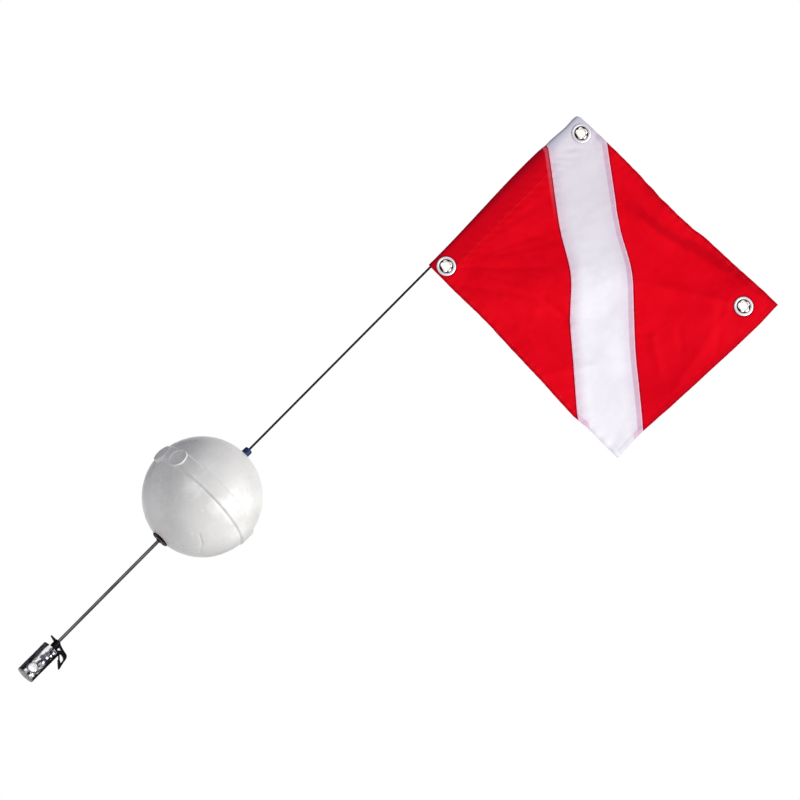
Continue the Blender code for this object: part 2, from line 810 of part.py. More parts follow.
def on_nose(across, up):
    """The rounded front of the sleeve, from its fold to the rod's axis."""
    angle = math.pi * (1 + across / NOSE_FLAT / 2)
    x = -hoist_x(up / FLAG_HOIST) * math.cos(angle)
    return Vector((x, SLEEVE_R * math.sin(angle), FLAG_BOTTOM_Z + up))


def on_wrap(back, up):
    """The back of the sleeve, from its fold round the rod."""
    angle = math.pi * (1 - WRAP_TURN_SHARE * back / WRAP_FLAT)
    wide = WRAP_WIDE_SHARE * SLEEVE_R
    if math.cos(angle) < 0:
        wide = -hoist_x(up / FLAG_HOIST)
    deep = WRAP_DEEP_SHARE * SLEEVE_R
    return Vector((wide * math.cos(angle), deep * math.sin(angle), FLAG_BOTTOM_Z + up))


def on_cloth(across, up):
    """The middle of the cloth in space. Across is negative on the part folded back."""
    if across >= NOSE_FLAT:
        x, z = in_field(across, up)
        return Vector((x, FLAG_Y + fold(x, z), FLAG_BOTTOM_Z + z))
    if across >= 0:
        return on_nose(across, up)
    back = -across
    if back <= WRAP_FLAT:
        return on_wrap(back, up)
    if back <= TAIL_FLAT:
        start = on_wrap(WRAP_FLAT, up)
        end = Vector((TAIL_START_X, TAIL_Y, FLAG_BOTTOM_Z + up))
        return start.lerp(end, (back - WRAP_FLAT) / (TAIL_FLAT - WRAP_FLAT))
    share = (back - TAIL_FLAT) / (SLEEVE_FLAT - TAIL_FLAT)
    x = TAIL_START_X + (TAIL_END_X - TAIL_START_X) * share
    return Vector((x, TAIL_Y, FLAG_BOTTOM_Z + up))


def column_places():
    """How far across the flat cloth each column of the grid lies."""
    stretches = (
        (-SLEEVE_FLAT, -TAIL_FLAT, TAIL_COLUMNS),
        (-TAIL_FLAT, -WRAP_FLAT, STEP_COLUMNS),
        (-WRAP_FLAT, 0, WRAP_COLUMNS),
        (0, NOSE_FLAT, NOSE_COLUMNS),
        (NOSE_FLAT, SLEEVE_FLAT, SLEEVE_COLUMNS),
        (SLEEVE_FLAT, FLAG_FLY, FIELD_COLUMNS),
    )
    places = [-SLEEVE_FLAT]
    for start, end, columns in stretches:
        places += [start + (end - start) * (step + 1) / columns for step in range(columns)]
    return places


def stripe_edges():
    """A point on each seam of the stripe, and the direction across it, on the flat cloth."""
    left = Vector((0, FLAG_HOIST - STRIPE_LEFT_DOWN, 0))
    left_run = Vector((STRIPE_FOOT_U, 0, 0)) - left
    right = Vector((STRIPE_RIGHT_U, FLAG_HOIST, 0))
    right_run = Vector((FLAG_FLY, STRIPE_RIGHT_W, 0)) - right
    turn = Vector((0, 0, 1))
    return (left, -left_run.cross(turn).normalized()), (right, -right_run.cross(turn).normalized())


def flat_cloth():
    """The whole flag as a flat grid. Each point also keeps its place in space, and the
    way out of the cloth there, so that a cut made on the flat stays on the same folds."""
    places = column_places()
    columns = len(places) - 1
    bm = bmesh.new()
    bmesh.ops.create_grid(bm, x_segments=columns, y_segments=CLOTH_ROWS, size=1)
    hung = bm.verts.layers.float_vector.new("hung")
    outward = bm.verts.layers.float_vector.new("outward")
    for vert in bm.verts:
        column = round((vert.co.x + 1) / 2 * columns)
        up = (vert.co.y + 1) / 2 * FLAG_HOIST
        vert[hung] = on_cloth(places[column], up)
        vert.co = Vector((places[column], up, 0))
    bmesh.ops.triangulate(bm, faces=bm.faces)
    flat = [vert.co.copy() for vert in bm.verts]
    for vert in bm.verts:
        vert.co = vert[hung]
    bm.normal_update()
    for vert, place in zip(bm.verts, flat):
        vert[outward] = vert.normal
        vert.co = place
    return bm, hung, outward


def keep_side(bm, point, normal):
    """Cut the flat cloth along a line, and keep the side that the normal points to."""
    everything = bm.verts[:] + bm.edges[:] + bm.faces[:]
    bmesh.ops.bisect_plane(
        bm, geom=everything, dist=MERGE, plane_co=point, plane_no=normal, clear_inner=True
    )


def make_cloth(name, sides, lift, holes, parts, cutters, material):
    """A panel of the flag. Lift moves it out over the panels that it is sewn on."""
    bm, hung, outward = flat_cloth()
    for point, normal in sides:
        keep_side(bm, point, normal)
    bmesh.ops.remove_doubles(bm, verts=bm.verts, dist=GAP)
    for vert in bm.verts:
        vert.co = vert[hung] + lift * vert[outward] - Vector((0, 0, FLAG_BOTTOM_Z))
    panel = add_object(name, mesh_from(bm, name), parts, material, (0, 0, FLAG_BOTTOM_Z))
    solid = panel.modifiers.new("cloth", "SOLIDIFY")
    solid.thickness = CLOTH
    solid.offset = 0
    for number, (place_x, place_z) in enumerate(holes):
        y = FLAG_Y + fold(place_x, place_z)
        z = FLAG_BOTTOM_Z + place_z
        hole = cylinder_cutter(
            f"{name}_hole_{number}",
            CLOTH_HOLE_R,
            (place_x, y - OVERRUN, z),
            (place_x, y + OVERRUN, z),
            cutters,
        )
        cut(panel, hole)
    return panel


def make_flag(parts, cutters, red, white):
    (left, left_normal), (right, right_normal) = stripe_edges()
    under_left = left + left_normal * SEAM_ALLOWANCE
    under_right = right - right_normal * SEAM_ALLOWANCE
    make_cloth(
        "flag_hoist_panel",
        [(under_left, -left_normal)],
        0,
        [HOIST_GROMMET],
        parts,
        cutters,
        red,
    )
    make_cloth(
        "flag_fly_panel",
        [(under_right, right_normal)],
        0,
        [FLY_GROMMET],
        parts,
        cutters,
        red,
    )
    make_cloth(
        "flag_stripe",
        [(left, left_normal), (right, -right_normal)],
        LAYER,
        [TOP_GROMMET],
        parts,
        cutters,
        white,
    )


# Grommets

def face_to_front(obj, origin):
    """A piece turned about Z is laid down so that its top faces the viewer."""
    obj.location = origin
    obj.rotation_euler = (math.pi / 2, 0, 0)


def make_grommet(name, place, front_lift, back_layers, parts, cutters, nickel, brass):
    """An eyelet pushed through the cloth from behind, rolled over a washer in front."""
    place_x, place_z = place
    plane = FLAG_Y + fold(place_x, place_z)
    origin = (place_x, plane, FLAG_BOTTOM_Z + place_z)
    front = front_lift + CLOTH / 2 + GAP
    back = -(back_layers * LAYER + CLOTH / 2 + GAP)
    washer_profile = [
        (BARREL_R + GAP, front + GROMMET_WASHER),
        (GROMMET_WASHER_R - GROMMET_WASHER, front + GROMMET_WASHER),
        (GROMMET_WASHER_R, front + GROMMET_WASHER_EDGE),
        (GROMMET_WASHER_R, front),
        (BARREL_R + GAP, front),
    ]
    washer = turned(f"{name}_washer", washer_profile, parts, nickel, GROMMET_STEPS)
    face_to_front(washer, origin)
    roll_foot = front + GROMMET_WASHER + GAP
    roll_top = roll_foot + ROLL_HEIGHT
    middle = (EYELET_BORE_R + ROLL_R) / 2
    eyelet_profile = [
        (middle, roll_top),
        (ROLL_R - EYELET_WALL / 2, roll_top - ROLL_HEIGHT / 4),
        (ROLL_R, roll_foot + ROLL_HEIGHT / 4),
        (ROLL_R - EYELET_WALL / 2, roll_foot),
        (BARREL_R, roll_foot),
        (BARREL_R, back),
        (EYELET_FLANGE_R, back),
        (EYELET_FLANGE_R, back - EYELET_FLANGE / 2),
        (EYELET_FLANGE_R - EYELET_FLANGE, back - EYELET_FLANGE),
        (BARREL_R, back - EYELET_FLANGE),
        (EYELET_BORE_R, back - EYELET_FLANGE / 2),
        (EYELET_BORE_R, roll_top - ROLL_HEIGHT / 2),
    ]
    eyelet = turned(f"{name}_eyelet", eyelet_profile, parts, brass, GROMMET_STEPS)
    face_to_front(eyelet, origin)
    notch_y = plane - (roll_foot + roll_top) / 2 - ROLL_HEIGHT / 2
    for number in range(ROLL_NOTCHES):
        angle = math.tau * (number + 0.5) / ROLL_NOTCHES
        notch = box_cutter(
            f"{name}_notch_{number}",
            (ROLL_R, ROLL_HEIGHT, NOTCH_WIDTH),
            (
                place_x + math.cos(angle) * ROLL_R,
                notch_y,
                FLAG_BOTTOM_Z + place_z + math.sin(angle) * ROLL_R,
            ),
            cutters,
            -angle,
        )
        cut(eyelet, notch)


def build():
    clear_scene()
    parts = new_collection("dive_flag_float")
    cutters = new_collection("cutters")
    cutters.hide_render = True
    foam = new_material("bead_foam", FOAM_COLOUR, 0.55, 0)
    weight_metal = new_material("weight_metal", STEEL_COLOUR, 0.22, 1)
    tube_metal = new_material("tube_metal", TUBE_COLOUR, 0.35, 1)
    rod_black = new_material("rod_black", BLACK_COLOUR, 0.35, 0)
    clip_black = new_material("clip_black", BLACK_COLOUR, 0.4, 0)
    rubber = new_material("washer_rubber", BLACK_COLOUR, 0.6, 0)
    nut_steel = new_material("nut_steel", BLACK_COLOUR, 0.3, 1)
    navy = new_material("navy_vinyl", NAVY_COLOUR, 0.45, 0)
    liner = new_material("liner_plastic", LINER_COLOUR, 0.45, 0)
    red = new_material("red_nylon", RED_COLOUR, 0.5, 0)
    white = new_material("white_nylon", WHITE_COLOUR, 0.5, 0)
    nickel = new_material("grommet_nickel", NICKEL_COLOUR, 0.3, 1)
    brass = new_material("grommet_brass", BRASS_COLOUR, 0.35, 1)
    make_lower_tube(parts, tube_metal)
    make_weight(parts, cutters, weight_metal)
    make_washer(parts, rubber)
    make_push_nut(parts, nut_steel)
    make_stop_cap(parts, navy)
    make_foam_ball(parts, cutters, foam)
    make_bore_liner(parts, liner)
    make_upper_rod(parts, rod_black)
    make_rod_tip_cap(parts, navy)
    make_clip_bush(parts, clip_black)
    make_clip_hook(parts, cutters, clip_black)
    make_clip_gate(parts, cutters, clip_black)
    make_gate_pin(parts, nut_steel)
    make_flag(parts, cutters, red, white)
    make_grommet("hoist_grommet", HOIST_GROMMET, 0, 1, parts, cutters, nickel, brass)
    make_grommet("top_grommet", TOP_GROMMET, LAYER, 2, parts, cutters, nickel, brass)
    make_grommet("fly_grommet", FLY_GROMMET, 0, 0, parts, cutters, nickel, brass)


build()
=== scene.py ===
"""Looks for the dive flag float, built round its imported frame.

Everything is in metres, in the row's own frame: the pole stands along +Z, the flag
flies towards +X and the viewer is on the -Y side, a little below the horizon.
"""

import math

import bmesh
import bpy
from mathutils import Matrix, Vector, noise


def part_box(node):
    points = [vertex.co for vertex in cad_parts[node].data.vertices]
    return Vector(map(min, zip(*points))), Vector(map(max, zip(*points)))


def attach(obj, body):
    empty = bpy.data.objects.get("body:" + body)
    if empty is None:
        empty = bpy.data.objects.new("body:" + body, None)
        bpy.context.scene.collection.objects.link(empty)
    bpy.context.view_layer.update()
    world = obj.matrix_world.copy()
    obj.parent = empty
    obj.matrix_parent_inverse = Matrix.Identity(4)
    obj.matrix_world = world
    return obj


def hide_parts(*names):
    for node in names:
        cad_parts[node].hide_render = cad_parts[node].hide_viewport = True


MM = 0.001


def mm(*lengths):
    return [length * MM for length in lengths]


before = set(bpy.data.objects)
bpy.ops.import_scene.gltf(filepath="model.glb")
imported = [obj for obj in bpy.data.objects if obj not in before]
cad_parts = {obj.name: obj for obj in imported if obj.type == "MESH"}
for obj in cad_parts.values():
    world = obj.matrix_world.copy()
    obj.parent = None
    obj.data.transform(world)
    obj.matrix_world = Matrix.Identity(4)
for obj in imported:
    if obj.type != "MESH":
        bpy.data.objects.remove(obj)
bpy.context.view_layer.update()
SCENE = bpy.context.scene

# Camera: the photograph looks up at the float a little, and is turned by about 45 degrees
VIEW_SINE, VIEW_COSINE = 0.2250, 0.9744
VIEW_BACK = Vector((0, -VIEW_COSINE, -VIEW_SINE)).normalized()
VIEW_TARGET = Vector((0.1016, 0, 0.2994))
VIEW_ROLL = math.radians(45.25)
VIEW_DISTANCE = 31.2
VIEW_LENS = 1000
SENSOR_WIDTH = 36

# The photograph's pixel at the ball, and the pixel of the ball's middle
PIXEL = 1.124 / 800
BALL_PIXEL = (202.5, 496.5)

# Light: the fill's strength and tones, the key lamp, and the two dark flags of the studio:
# the way to each, and the degrees off it between which its edge fades
WORLD_FILL = 0.525
FILL_LOW, FILL_HIGH = (1.0, 1.0, 0.96), (0.75, 0.73, 0.83)
KEY_ENERGY = 99
KEY_SIZE = 1.9
KEY_DISTANCE = 3.4
KEY_TARGET = Vector((0.12, 0, 0.25))
DARK_FLAG = (0.05, 0.05, 0.065)
DARK_FLAGS = (((-0.966, 0.259, 0), 58, 46), ((0.743, 0.669, 0), 36, 26))
FLOOR_Z = -1.45
FLOOR_HALF = 4.5

# Places and sizes, as on the CAD nodes
TUBE_R, TUBE_BORE_R, TUBE_TOP_Z, TUBE_FOOT_Z = mm(2.37, 1.89, 92.02, -333.2)
CRIMP_Z, CRIMP_R = mm(-20, 1.74)
ROD_R = 1.59 * MM
ROD_FOOT_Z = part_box("upper_rod")[0].z
ROD_TOP_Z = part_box("upper_rod")[1].z
BALL_R = 84.95 * MM
BELT_R, BELT_TOP_Z, BELT_FOOT_Z = mm(86.5, 14, -7.8)
BOSS_R, BOSS_RISE = mm(14.6, 1.7)
# How wide the steps at the belt's foot and top are and what a boss adds to them, in
# millimetres, and how far round the belt that reaches on either side of the boss
BELT_FOOT_RUN, BELT_TOP_RUN, BLUR_RUN = 3.2, 1.4, 7
BLUR_AHEAD, BLUR_BEHIND = math.radians(17), math.radians(40)
# The filling bosses: which way and how high they stand, and how far their face is sunk.
# The last number is how round their edge is, in millimetres
BOSSES = (
    (math.radians(-136.4), 1.9 * MM, 0.7 * MM, 0.9),
    (math.radians(-162), -2.4 * MM, 0.25 * MM, 2.2),
)
BORE_R = 4.29 * MM
TOP_SEAT_R, TOP_SEAT_Z = mm(8.5, 84.52)
LOW_SEAT_Z = -83.63 * MM
LINER_R, LINER_BORE_R, LINER_FLANGE_R, LINER_FLANGE_Z = mm(3.99, 2.74, 14.6, -85.13)
WASHER_R, WASHER_Z, WASHER_THICK = mm(12.9, -87.03, 1.6)
NUT_BORE_R, NUT_HUB_R, NUT_R, NUT_Z, NUT_THICK, NUT_RISE = mm(2.67, 4.17, 6.77, -88.23, 0.9, 1.5)
CAP_R, CAP_TOP_Z, CAP_FOOT_Z = mm(6.22, 95.62, 84.82)
WEIGHT_R, WEIGHT_TOP_Z, WEIGHT_FOOT_Z = mm(13.75, -306.5, -360.5)
CROSS_HOLE_R, CROSS_HOLE_Z = mm(5.9, -346.6)
BUSH_BORE_R, BUSH_R, BUSH_FLANGE_R, BUSH_LIP_R, BUSH_Z = mm(2.74, 3.59, 4.99, 4.29, -306.2)
BUSH_FLANGE, BUSH_LIP, BUSH_TOP_Z = mm(1.3, 0.6, -291.9)
EYE_R, EYE_FOOT_Z = mm(4.99, -304.6)
HOOK_TOP_Z, HOOK_REACH, HOOK_DROP, HOOK_THICK = mm(-292.8, 28.3, 27.7, 6.4)
PIVOT_X, PIVOT_Z = mm(11.0936, -303.1044)
GATE_LENGTH = 11.3 * MM
GATE_TILT = math.radians(-43.8)
GATE_WIDTH, GATE_DEPTH, GATE_EYE_R = mm(3.0, 2.2, 2.2)
PIN_R = 0.75 * MM
GAP = 0.3 * MM

# The hook's outline and its window, as shares of its reach and of its drop
HOOK_OUTLINE_SHARES = (
    (-0.480, -0.004), (-0.212, -0.002), (0.000, 0.000), (0.177, -0.025), (0.424, -0.116),
    (0.636, -0.159), (0.763, -0.195), (0.845, -0.274), (0.890, -0.426), (0.912, -0.599),
    (0.951, -0.787), (1.000, -0.946), (0.986, -0.989), (0.943, -1.000), (0.647, -0.729),
    (0.597, -0.684), (0.618, -0.664), (0.654, -0.699), (0.723, -0.626), (0.827, -0.729),
    (0.806, -0.585), (0.800, -0.490), (0.756, -0.432), (0.693, -0.398), (0.622, -0.376),
    (0.551, -0.366), (0.500, -0.372), (0.470, -0.440), (0.410, -0.475), (0.339, -0.462),
    (0.269, -0.430), (0.163, -0.401), (-0.120, -0.401), (-0.138, -0.137), (-0.300, -0.098),
    (-0.470, -0.048),
)
HOOK_WINDOW_SHARES = (
    (0.233, -0.173), (0.346, -0.199), (0.456, -0.242), (0.367, -0.267), (0.311, -0.307),
    (0.290, -0.354), (0.233, -0.336),
)

# Flag: flat sizes, and where its corners are
CLOTH = 0.36 * MM
HEM, HEM_WIDTH = mm(0.86, 6)
FLAG_HOIST, FLAG_FLY = mm(304.8, 381)
SLEEVE_FLAT = 30 * MM
SEAM_ALLOWANCE = 6 * MM
FLY_HEM, TOP_HEM = FLAG_FLY - HEM_WIDTH, FLAG_HOIST - HEM_WIDTH
HEM_STEP_LOW, HEM_STEP_HIGH = mm(0.5, 0.3)
STRIPE_LEFT_W, STRIPE_FOOT_U, STRIPE_RIGHT_U, STRIPE_RIGHT_W = mm(243, 304, 54.5, 50.5)
FLAG_BOTTOM_Z = 467 * MM
HOIST_X = -3.5 * MM
TOP_HOIST_X, TOP_FLY_X, TOP_FLY_RISE = mm(-3.4, 384.5, 8.2)
LOW_FLY_X, LOW_FLY_DROP = mm(376, 6.2)
SLEEVE_BELLY = 5.2 * MM
SLEEVE_BELLY_POWER = 1.5
SLEEVE_R = 2.44 * MM
CAD_CLOTH = 0.5 * MM
FLAG_Y = -SLEEVE_R
LAYER = 0.92 * MM
SEAM_LIFT = 0.42 * MM
THREAD_PITCH = 0.42 * MM
STITCH_PITCH, STITCH_R = mm(3.1, 0.15)
STITCH_ENDS = (0.12, 0.88)
THREAD_LIFT, SEAM_THREAD_LIFT = mm(0.05, 0.04)
SEAM_ROWS = (mm(1.6, 0), mm(4.8, 0.16))
STITCH_INSET = HEM_WIDTH - 0.9 * MM
SLEEVE_STITCH = SLEEVE_FLAT - 1.2 * MM
NOSE_FLAT = 3.5 * MM
WRAP_FLAT = math.pi * SLEEVE_R
TAIL_FLAT = WRAP_FLAT + SLEEVE_R
TAIL_START_X, TAIL_END_X = mm(4.39, 26.5)
TAIL_Y = FLAG_Y + LAYER
WRAP_TURN_SHARE = 0.94
WRAP_WIDE_SHARE = 1.13
WRAP_DEEP_SHARE = 1.1

# Flag: main folds. They hang about half as deep here as on the CAD cloth
FOLD_EASE = 0.52
FLY_EASE_RUN = 65 * MM
RIDGE_HEIGHT, RIDGE_WIDTH, RIDGE_BEND_X, RIDGE_BEND_RUN, RIDGE_BEND_DROP = mm(15, 52, 190, 165, 80)
DRAW_SHIFT, DRAW_WIDTH = mm(8, 52)
FOLD_START_X, FOLD_RUN = mm(24, 75)
POLE_FOLD_RUN = 145 * MM
FLY_FOLD_SHARE = 0.35
WAVE_HEIGHT, WAVE_LENGTH = mm(5, 120)
EDGE_WAVE_HEIGHT, EDGE_WAVE_X, EDGE_WAVE_RUN, EDGE_WAVE_DEPTH = mm(8, 235, 55, 60)
CORNER_CURL, CORNER_CURL_RUN = mm(13, 110)
FLAT_SPOT_R, FLAT_SPOT_FADE = mm(15, 34)
DETAIL_R, DETAIL_FADE = mm(14.2, 9)
DETAIL_START_X, DETAIL_RUN = mm(9, 16)

# Grommets
HOIST_GROMMET = (15 * MM, 15.3 * MM)
TOP_GROMMET = (18.2 * MM, 289.4 * MM)
FLY_GROMMET = (352 * MM, 275 * MM)
GROMMETS = (HOIST_GROMMET, TOP_GROMMET, FLY_GROMMET)
EYELET_BORE_R = 6.15 * MM
BARREL_R = 6.85 * MM
EYELET_FLANGE_R, EYELET_FLANGE = mm(10.5, 0.7)
ROLL_R, ROLL_HEIGHT = mm(9.1, 1.1)
GROMMET_WASHER_R, GROMMET_WASHER = mm(13.7, 0.8)
CLOTH_HOLE_R = 7.15 * MM
PETALS = 5

# The part of the fly panel that leans forward under the top hem: where its crease starts
# from the pole and the flag's foot, which way is across it, its length and its slope
LEAN_START = (130 * MM, 257 * MM)
LEAN_NORMAL = (-0.174, 0.985)
LEAN_OFFSET = LEAN_START[0] * LEAN_NORMAL[0] + LEAN_START[1] * LEAN_NORMAL[1]
LEAN_LENGTH, LEAN_RISE_RUN, LEAN_FALL_RUN, LEAN_SOFT = mm(232, 70, 30, 3)
LEAN_SLOPE = 0.22

# How far the cloth's edges stand out from their straight lines: a place along the edge
# and a distance, both in millimetres
TOP_TRIM = ((0, 0.2), (29, 0.8), (90, 0.6), (115, -0.2), (138, -2.6), (165, -5.8), (192, -6.4),
            (220, -5.2), (247, -2.0), (299, -1.8), (326, -1.3), (354, 0.0), (381, 0.0))
FOOT_TRIM = ((0, 1.2), (44, 1.0), (72, 0.6), (100, -0.6), (123, -1.2), (150, -0.2), (177, 0.9),
             (204, 2.0), (231, 2.3), (258, 3.2), (290, 3.8), (330, 0.0), (381, 0.0))
FLY_TRIM = ((0, 0.0), (45, -2.6), (75, -1.5), (105, -0.1), (160, 1.1), (215, 1.8), (260, 1.1),
            (305, 0.6))
HOIST_TRIM = ((0, 0.0), (70, -0.8), (120, -1.1), (225, -1.0), (248, -2.2), (278, -2.6),
              (296, -0.9), (305, -0.8))

# The round of the sleeve's top corner, how far down it dies away, and how close to the
# pole's axis the sleeve's edge may come
CORNER_ROUND, CORNER_FADE = mm(6, 30)
HOIST_LEAST = 2.3 * MM

# Creases in the cloth, in millimetres: two ends, from the pole and from the flag's foot,
# how deep, how wide, and towards the viewer or away from them. All by CREASE_SHARE
CREASE_SHARE = 0.85
CREASES = (
    ((28.9, 28.8), (122.7, 122.2), 2.0, 6.5, 1), ((43.8, 9.3), (144.4, 79.3), 2.2, 6.0, 1),
    ((144.4, 79.3), (192.1, 85.2), 2.6, 6.0, 1), ((153.3, 63.9), (193.1, 84.2), 2.8, 5.0, 1),
    ((46.2, 119.5), (103.0, 152.9), 1.6, 7.0, 1), ((132.3, 268.0), (291.4, 295.9), 2.2, 9.0, 1),
    ((145.2, 256.8), (331.1, 287.5), 2.4, 9.0, -1),
    ((216.4, 189.1), (345.9, 272.2), 2.6, 10.0, -1),
    ((266.9, 138.9), (286.8, 155.1), 2.0, 6.0, 1), ((286.8, 155.1), (335.3, 123.3), 2.2, 7.0, -1),
    ((306.8, 187.7), (334.5, 169.2), 1.8, 6.0, 1), ((108.3, 12.1), (143.2, 25.2), 1.8, 7.0, 1),
    ((160.0, 30.0), (188.9, 20.9), 1.6, 7.0, -1), ((330.0, 250.0), (372.0, 200.0), 1.6, 8.0, 1),
    ((338.0, 262.0), (366.0, 120.0), 1.4, 9.0, -1), ((230.0, 20.0), (262.0, 66.0), 1.6, 8.0, -1),
)

# Wrinkles all over the cloth: how deep in millimetres, how fine, and a layer of the noise.
# The crumple is the same from cells, and its depth varies by a broad noise
WRINKLES = ((0.6, 30, 9.1), (0.25, 95, 1.3))
CRUMPLE_DEPTH, CRUMPLE_SCALE, CRUMPLE_LAYER, CRUMPLE_SPREAD = 1.2, 17, 3.7, 9

# The folds that fan out from the hoist grommet
FAN_DEPTH, FAN_START, FAN_RISE_RUN, FAN_REACH = mm(1.5, 18, 110, 170)

# Puckers at the sleeve, at the seams and at the hems: how deep, how wide, and their pitch
# in millimetres
SLEEVE_PUCKER = (0.75 * MM, 8 * MM, 15)
SEAM_PUCKER = (0.22 * MM, 9 * MM, 13)
HEM_PUCKER = (0.5 * MM, 9 * MM, 17)


# Numbers

def smooth_share(value):
    value = min(max(value, 0), 1)
    return value * value * (3 - 2 * value)


def bell(value):
    return math.exp(-value * value)


def places(stretches):
    """The ends of some stretches and even steps between them."""
    found = [stretches[0][0]]
    for start, end, count in stretches:
        found += [start + (end - start) * (step + 1) / count for step in range(count)]
    return found


def apart(x, z, place):
    """How far a point of the flag's plane is from a place on it."""
    return math.hypot(x - place[0], z - place[1])


def noise_at(*point):
    return noise.noise(Vector(point))


# Mesh helpers

def linked(name, data):
    obj = bpy.data.objects.new(name, data)
    SCENE.collection.objects.link(obj)
    return obj


def object_from(bm, name, sharp=32):
    mesh = bpy.data.meshes.new(name)
    bm.to_mesh(mesh)
    bm.free()
    mesh.shade_smooth()
    mesh.set_sharp_from_angle(angle=math.radians(sharp))
    return linked(name, mesh)


def baked(obj):
    """The object with its modifiers applied."""
    bpy.context.view_layer.update()
    graph = bpy.context.evaluated_depsgraph_get()
    evaluated = obj.evaluated_get(graph)
    mesh = bpy.data.meshes.new_from_object(
        evaluated, preserve_all_data_layers=True, depsgraph=graph
    )
    obj.modifiers.clear()
    old = obj.data
    obj.data = mesh
    bpy.data.meshes.remove(old)
    return obj


def eased(points, closed, steps=4):
    """Rounds the corners of a line of points (a, b, radius in millimetres)."""
    line = []
    count = len(points)
    for i, point in enumerate(points):
        here = Vector(point[:2])
        radius = point[2] * MM if len(point) > 2 else 0
        if radius == 0 or (not closed and i in (0, count - 1)):
            line.append(tuple(here))
            continue
        before = Vector(points[i - 1][:2]) - here
        after = Vector(points[(i + 1) % count][:2]) - here
        start = here + before.normalized() * min(radius, before.length * 0.45)
        end = here + after.normalized() * min(radius, after.length * 0.45)
        for step in range(steps + 1):
            t = step / steps
            line.append(tuple(start * (1 - t) ** 2 + here * 2 * t * (1 - t) + end * t**2))
    return line


def turned(name, profile, steps=48, closed=True, warp=None, sharp=32):
    """Turns a profile of (radius, height, corner radius in millimetres) about Z. Where it
    isn't closed, its ends lie on the axis. Warp changes a point's radius and height by its
    angle."""
    line = eased(profile, closed)
    bm = bmesh.new()
    rings = []
    for radius, height in line:
        if radius < 1e-7:
            rings.append([bm.verts.new((0, 0, height))] * steps)
            continue
        ring = []
        for step in range(steps):
            angle = math.tau * step / steps
            r, z = radius, height
            if warp:
                r, z = warp(angle, radius, height)
            ring.append(bm.verts.new((r * math.cos(angle), r * math.sin(angle), z)))
        rings.append(ring)
    spans = list(range(len(rings) - 1)) + ([len(rings) - 1] if closed else [])
    for span in spans:
        upper, lower = rings[span], rings[(span + 1) % len(rings)]
        for step in range(steps):
            after = (step + 1) % steps
            corners = []
            for vert in (upper[step], lower[step], lower[after], upper[after]):
                if vert not in corners:
                    corners.append(vert)
            if len(corners) > 2:
                bm.faces.new(corners)
    bmesh.ops.recalc_face_normals(bm, faces=bm.faces)
    return object_from(bm, name, sharp)


def cylinder(name, radius, start, end, steps=48):
    start, end = Vector(start), Vector(end)
    along = end - start
    bm = bmesh.new()
    bmesh.ops.create_cone(
        bm, cap_ends=True, segments=steps, radius1=radius, radius2=radius, depth=along.length
    )
    turn = along.to_track_quat("Z", "Y").to_matrix().to_4x4()
    bmesh.ops.transform(bm, matrix=Matrix.Translation((start + end) / 2) @ turn, verts=bm.verts)
    return object_from(bm, name)


def block(name, size, centre, angle_y):
    bm = bmesh.new()
    bmesh.ops.create_cube(bm, size=1)
    bmesh.ops.scale(bm, vec=size, verts=bm.verts)
    turn = Matrix.Rotation(angle_y, 4, "Y")
    bmesh.ops.transform(bm, matrix=Matrix.Translation(centre) @ turn, verts=bm.verts)
    return object_from(bm, name)


def combine(obj, cutter, operation="DIFFERENCE"):
    """Joins a cutter to an object or cuts it out, and removes the cutter."""
    modifier = obj.modifiers.new("combine", "BOOLEAN")
    modifier.operation = operation
    modifier.solver = "EXACT"
    modifier.object = cutter
    baked(obj)
    bpy.data.objects.remove(cutter, do_unlink=True)
    return obj


def bevelled(obj, width, angle=40):
    modifier = obj.modifiers.new("edges", "BEVEL")
    modifier.width = width
    modifier.segments = 3
    modifier.limit_method = "ANGLE"
    modifier.angle_limit = math.radians(angle)
    return baked(obj)


def smoothed(obj, sharp=35):
    obj.data.shade_smooth()
    obj.data.set_sharp_from_angle(angle=math.radians(sharp))
    return obj


def placed(obj, body, node, finish):
    """Gives a piece its finish and body, and hides the node it replaces."""
    obj.data.materials.clear()
    obj.data.materials.append(FINISHES[finish])
    for face in obj.data.polygons:
        face.material_index = 0
    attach(obj, body)
    if node:
        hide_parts(node)
    return obj


# Materials
FINISHES = {}


def add_node(tree, kind, inputs=(), **settings):
    """A node with its settings and inputs: each input is a value or another node's output."""
    node = tree.nodes.new(kind)
    for setting, value in settings.items():
        setattr(node, setting, value)
    for socket, value in inputs:
        if isinstance(value, bpy.types.NodeSocket):
            tree.links.new(value, node.inputs[socket])
        else:
            node.inputs[socket].default_value = value
    return node


def band(tree, value, low, high, out_low=0.0, out_high=1.0):
    """Runs smoothly from one value to another as its input goes from low to high."""
    return add_node(tree, "ShaderNodeMapRange", [
        ("Value", value), ("From Min", low), ("From Max", high), ("To Min", out_low),
        ("To Max", out_high),
    ], interpolation_type="SMOOTHSTEP").outputs[0]


def mixed(tree, share, a, b):
    inputs = [(0, share), (6, a), (7, b)]
    return add_node(tree, "ShaderNodeMix", inputs, data_type="RGBA").outputs[2]


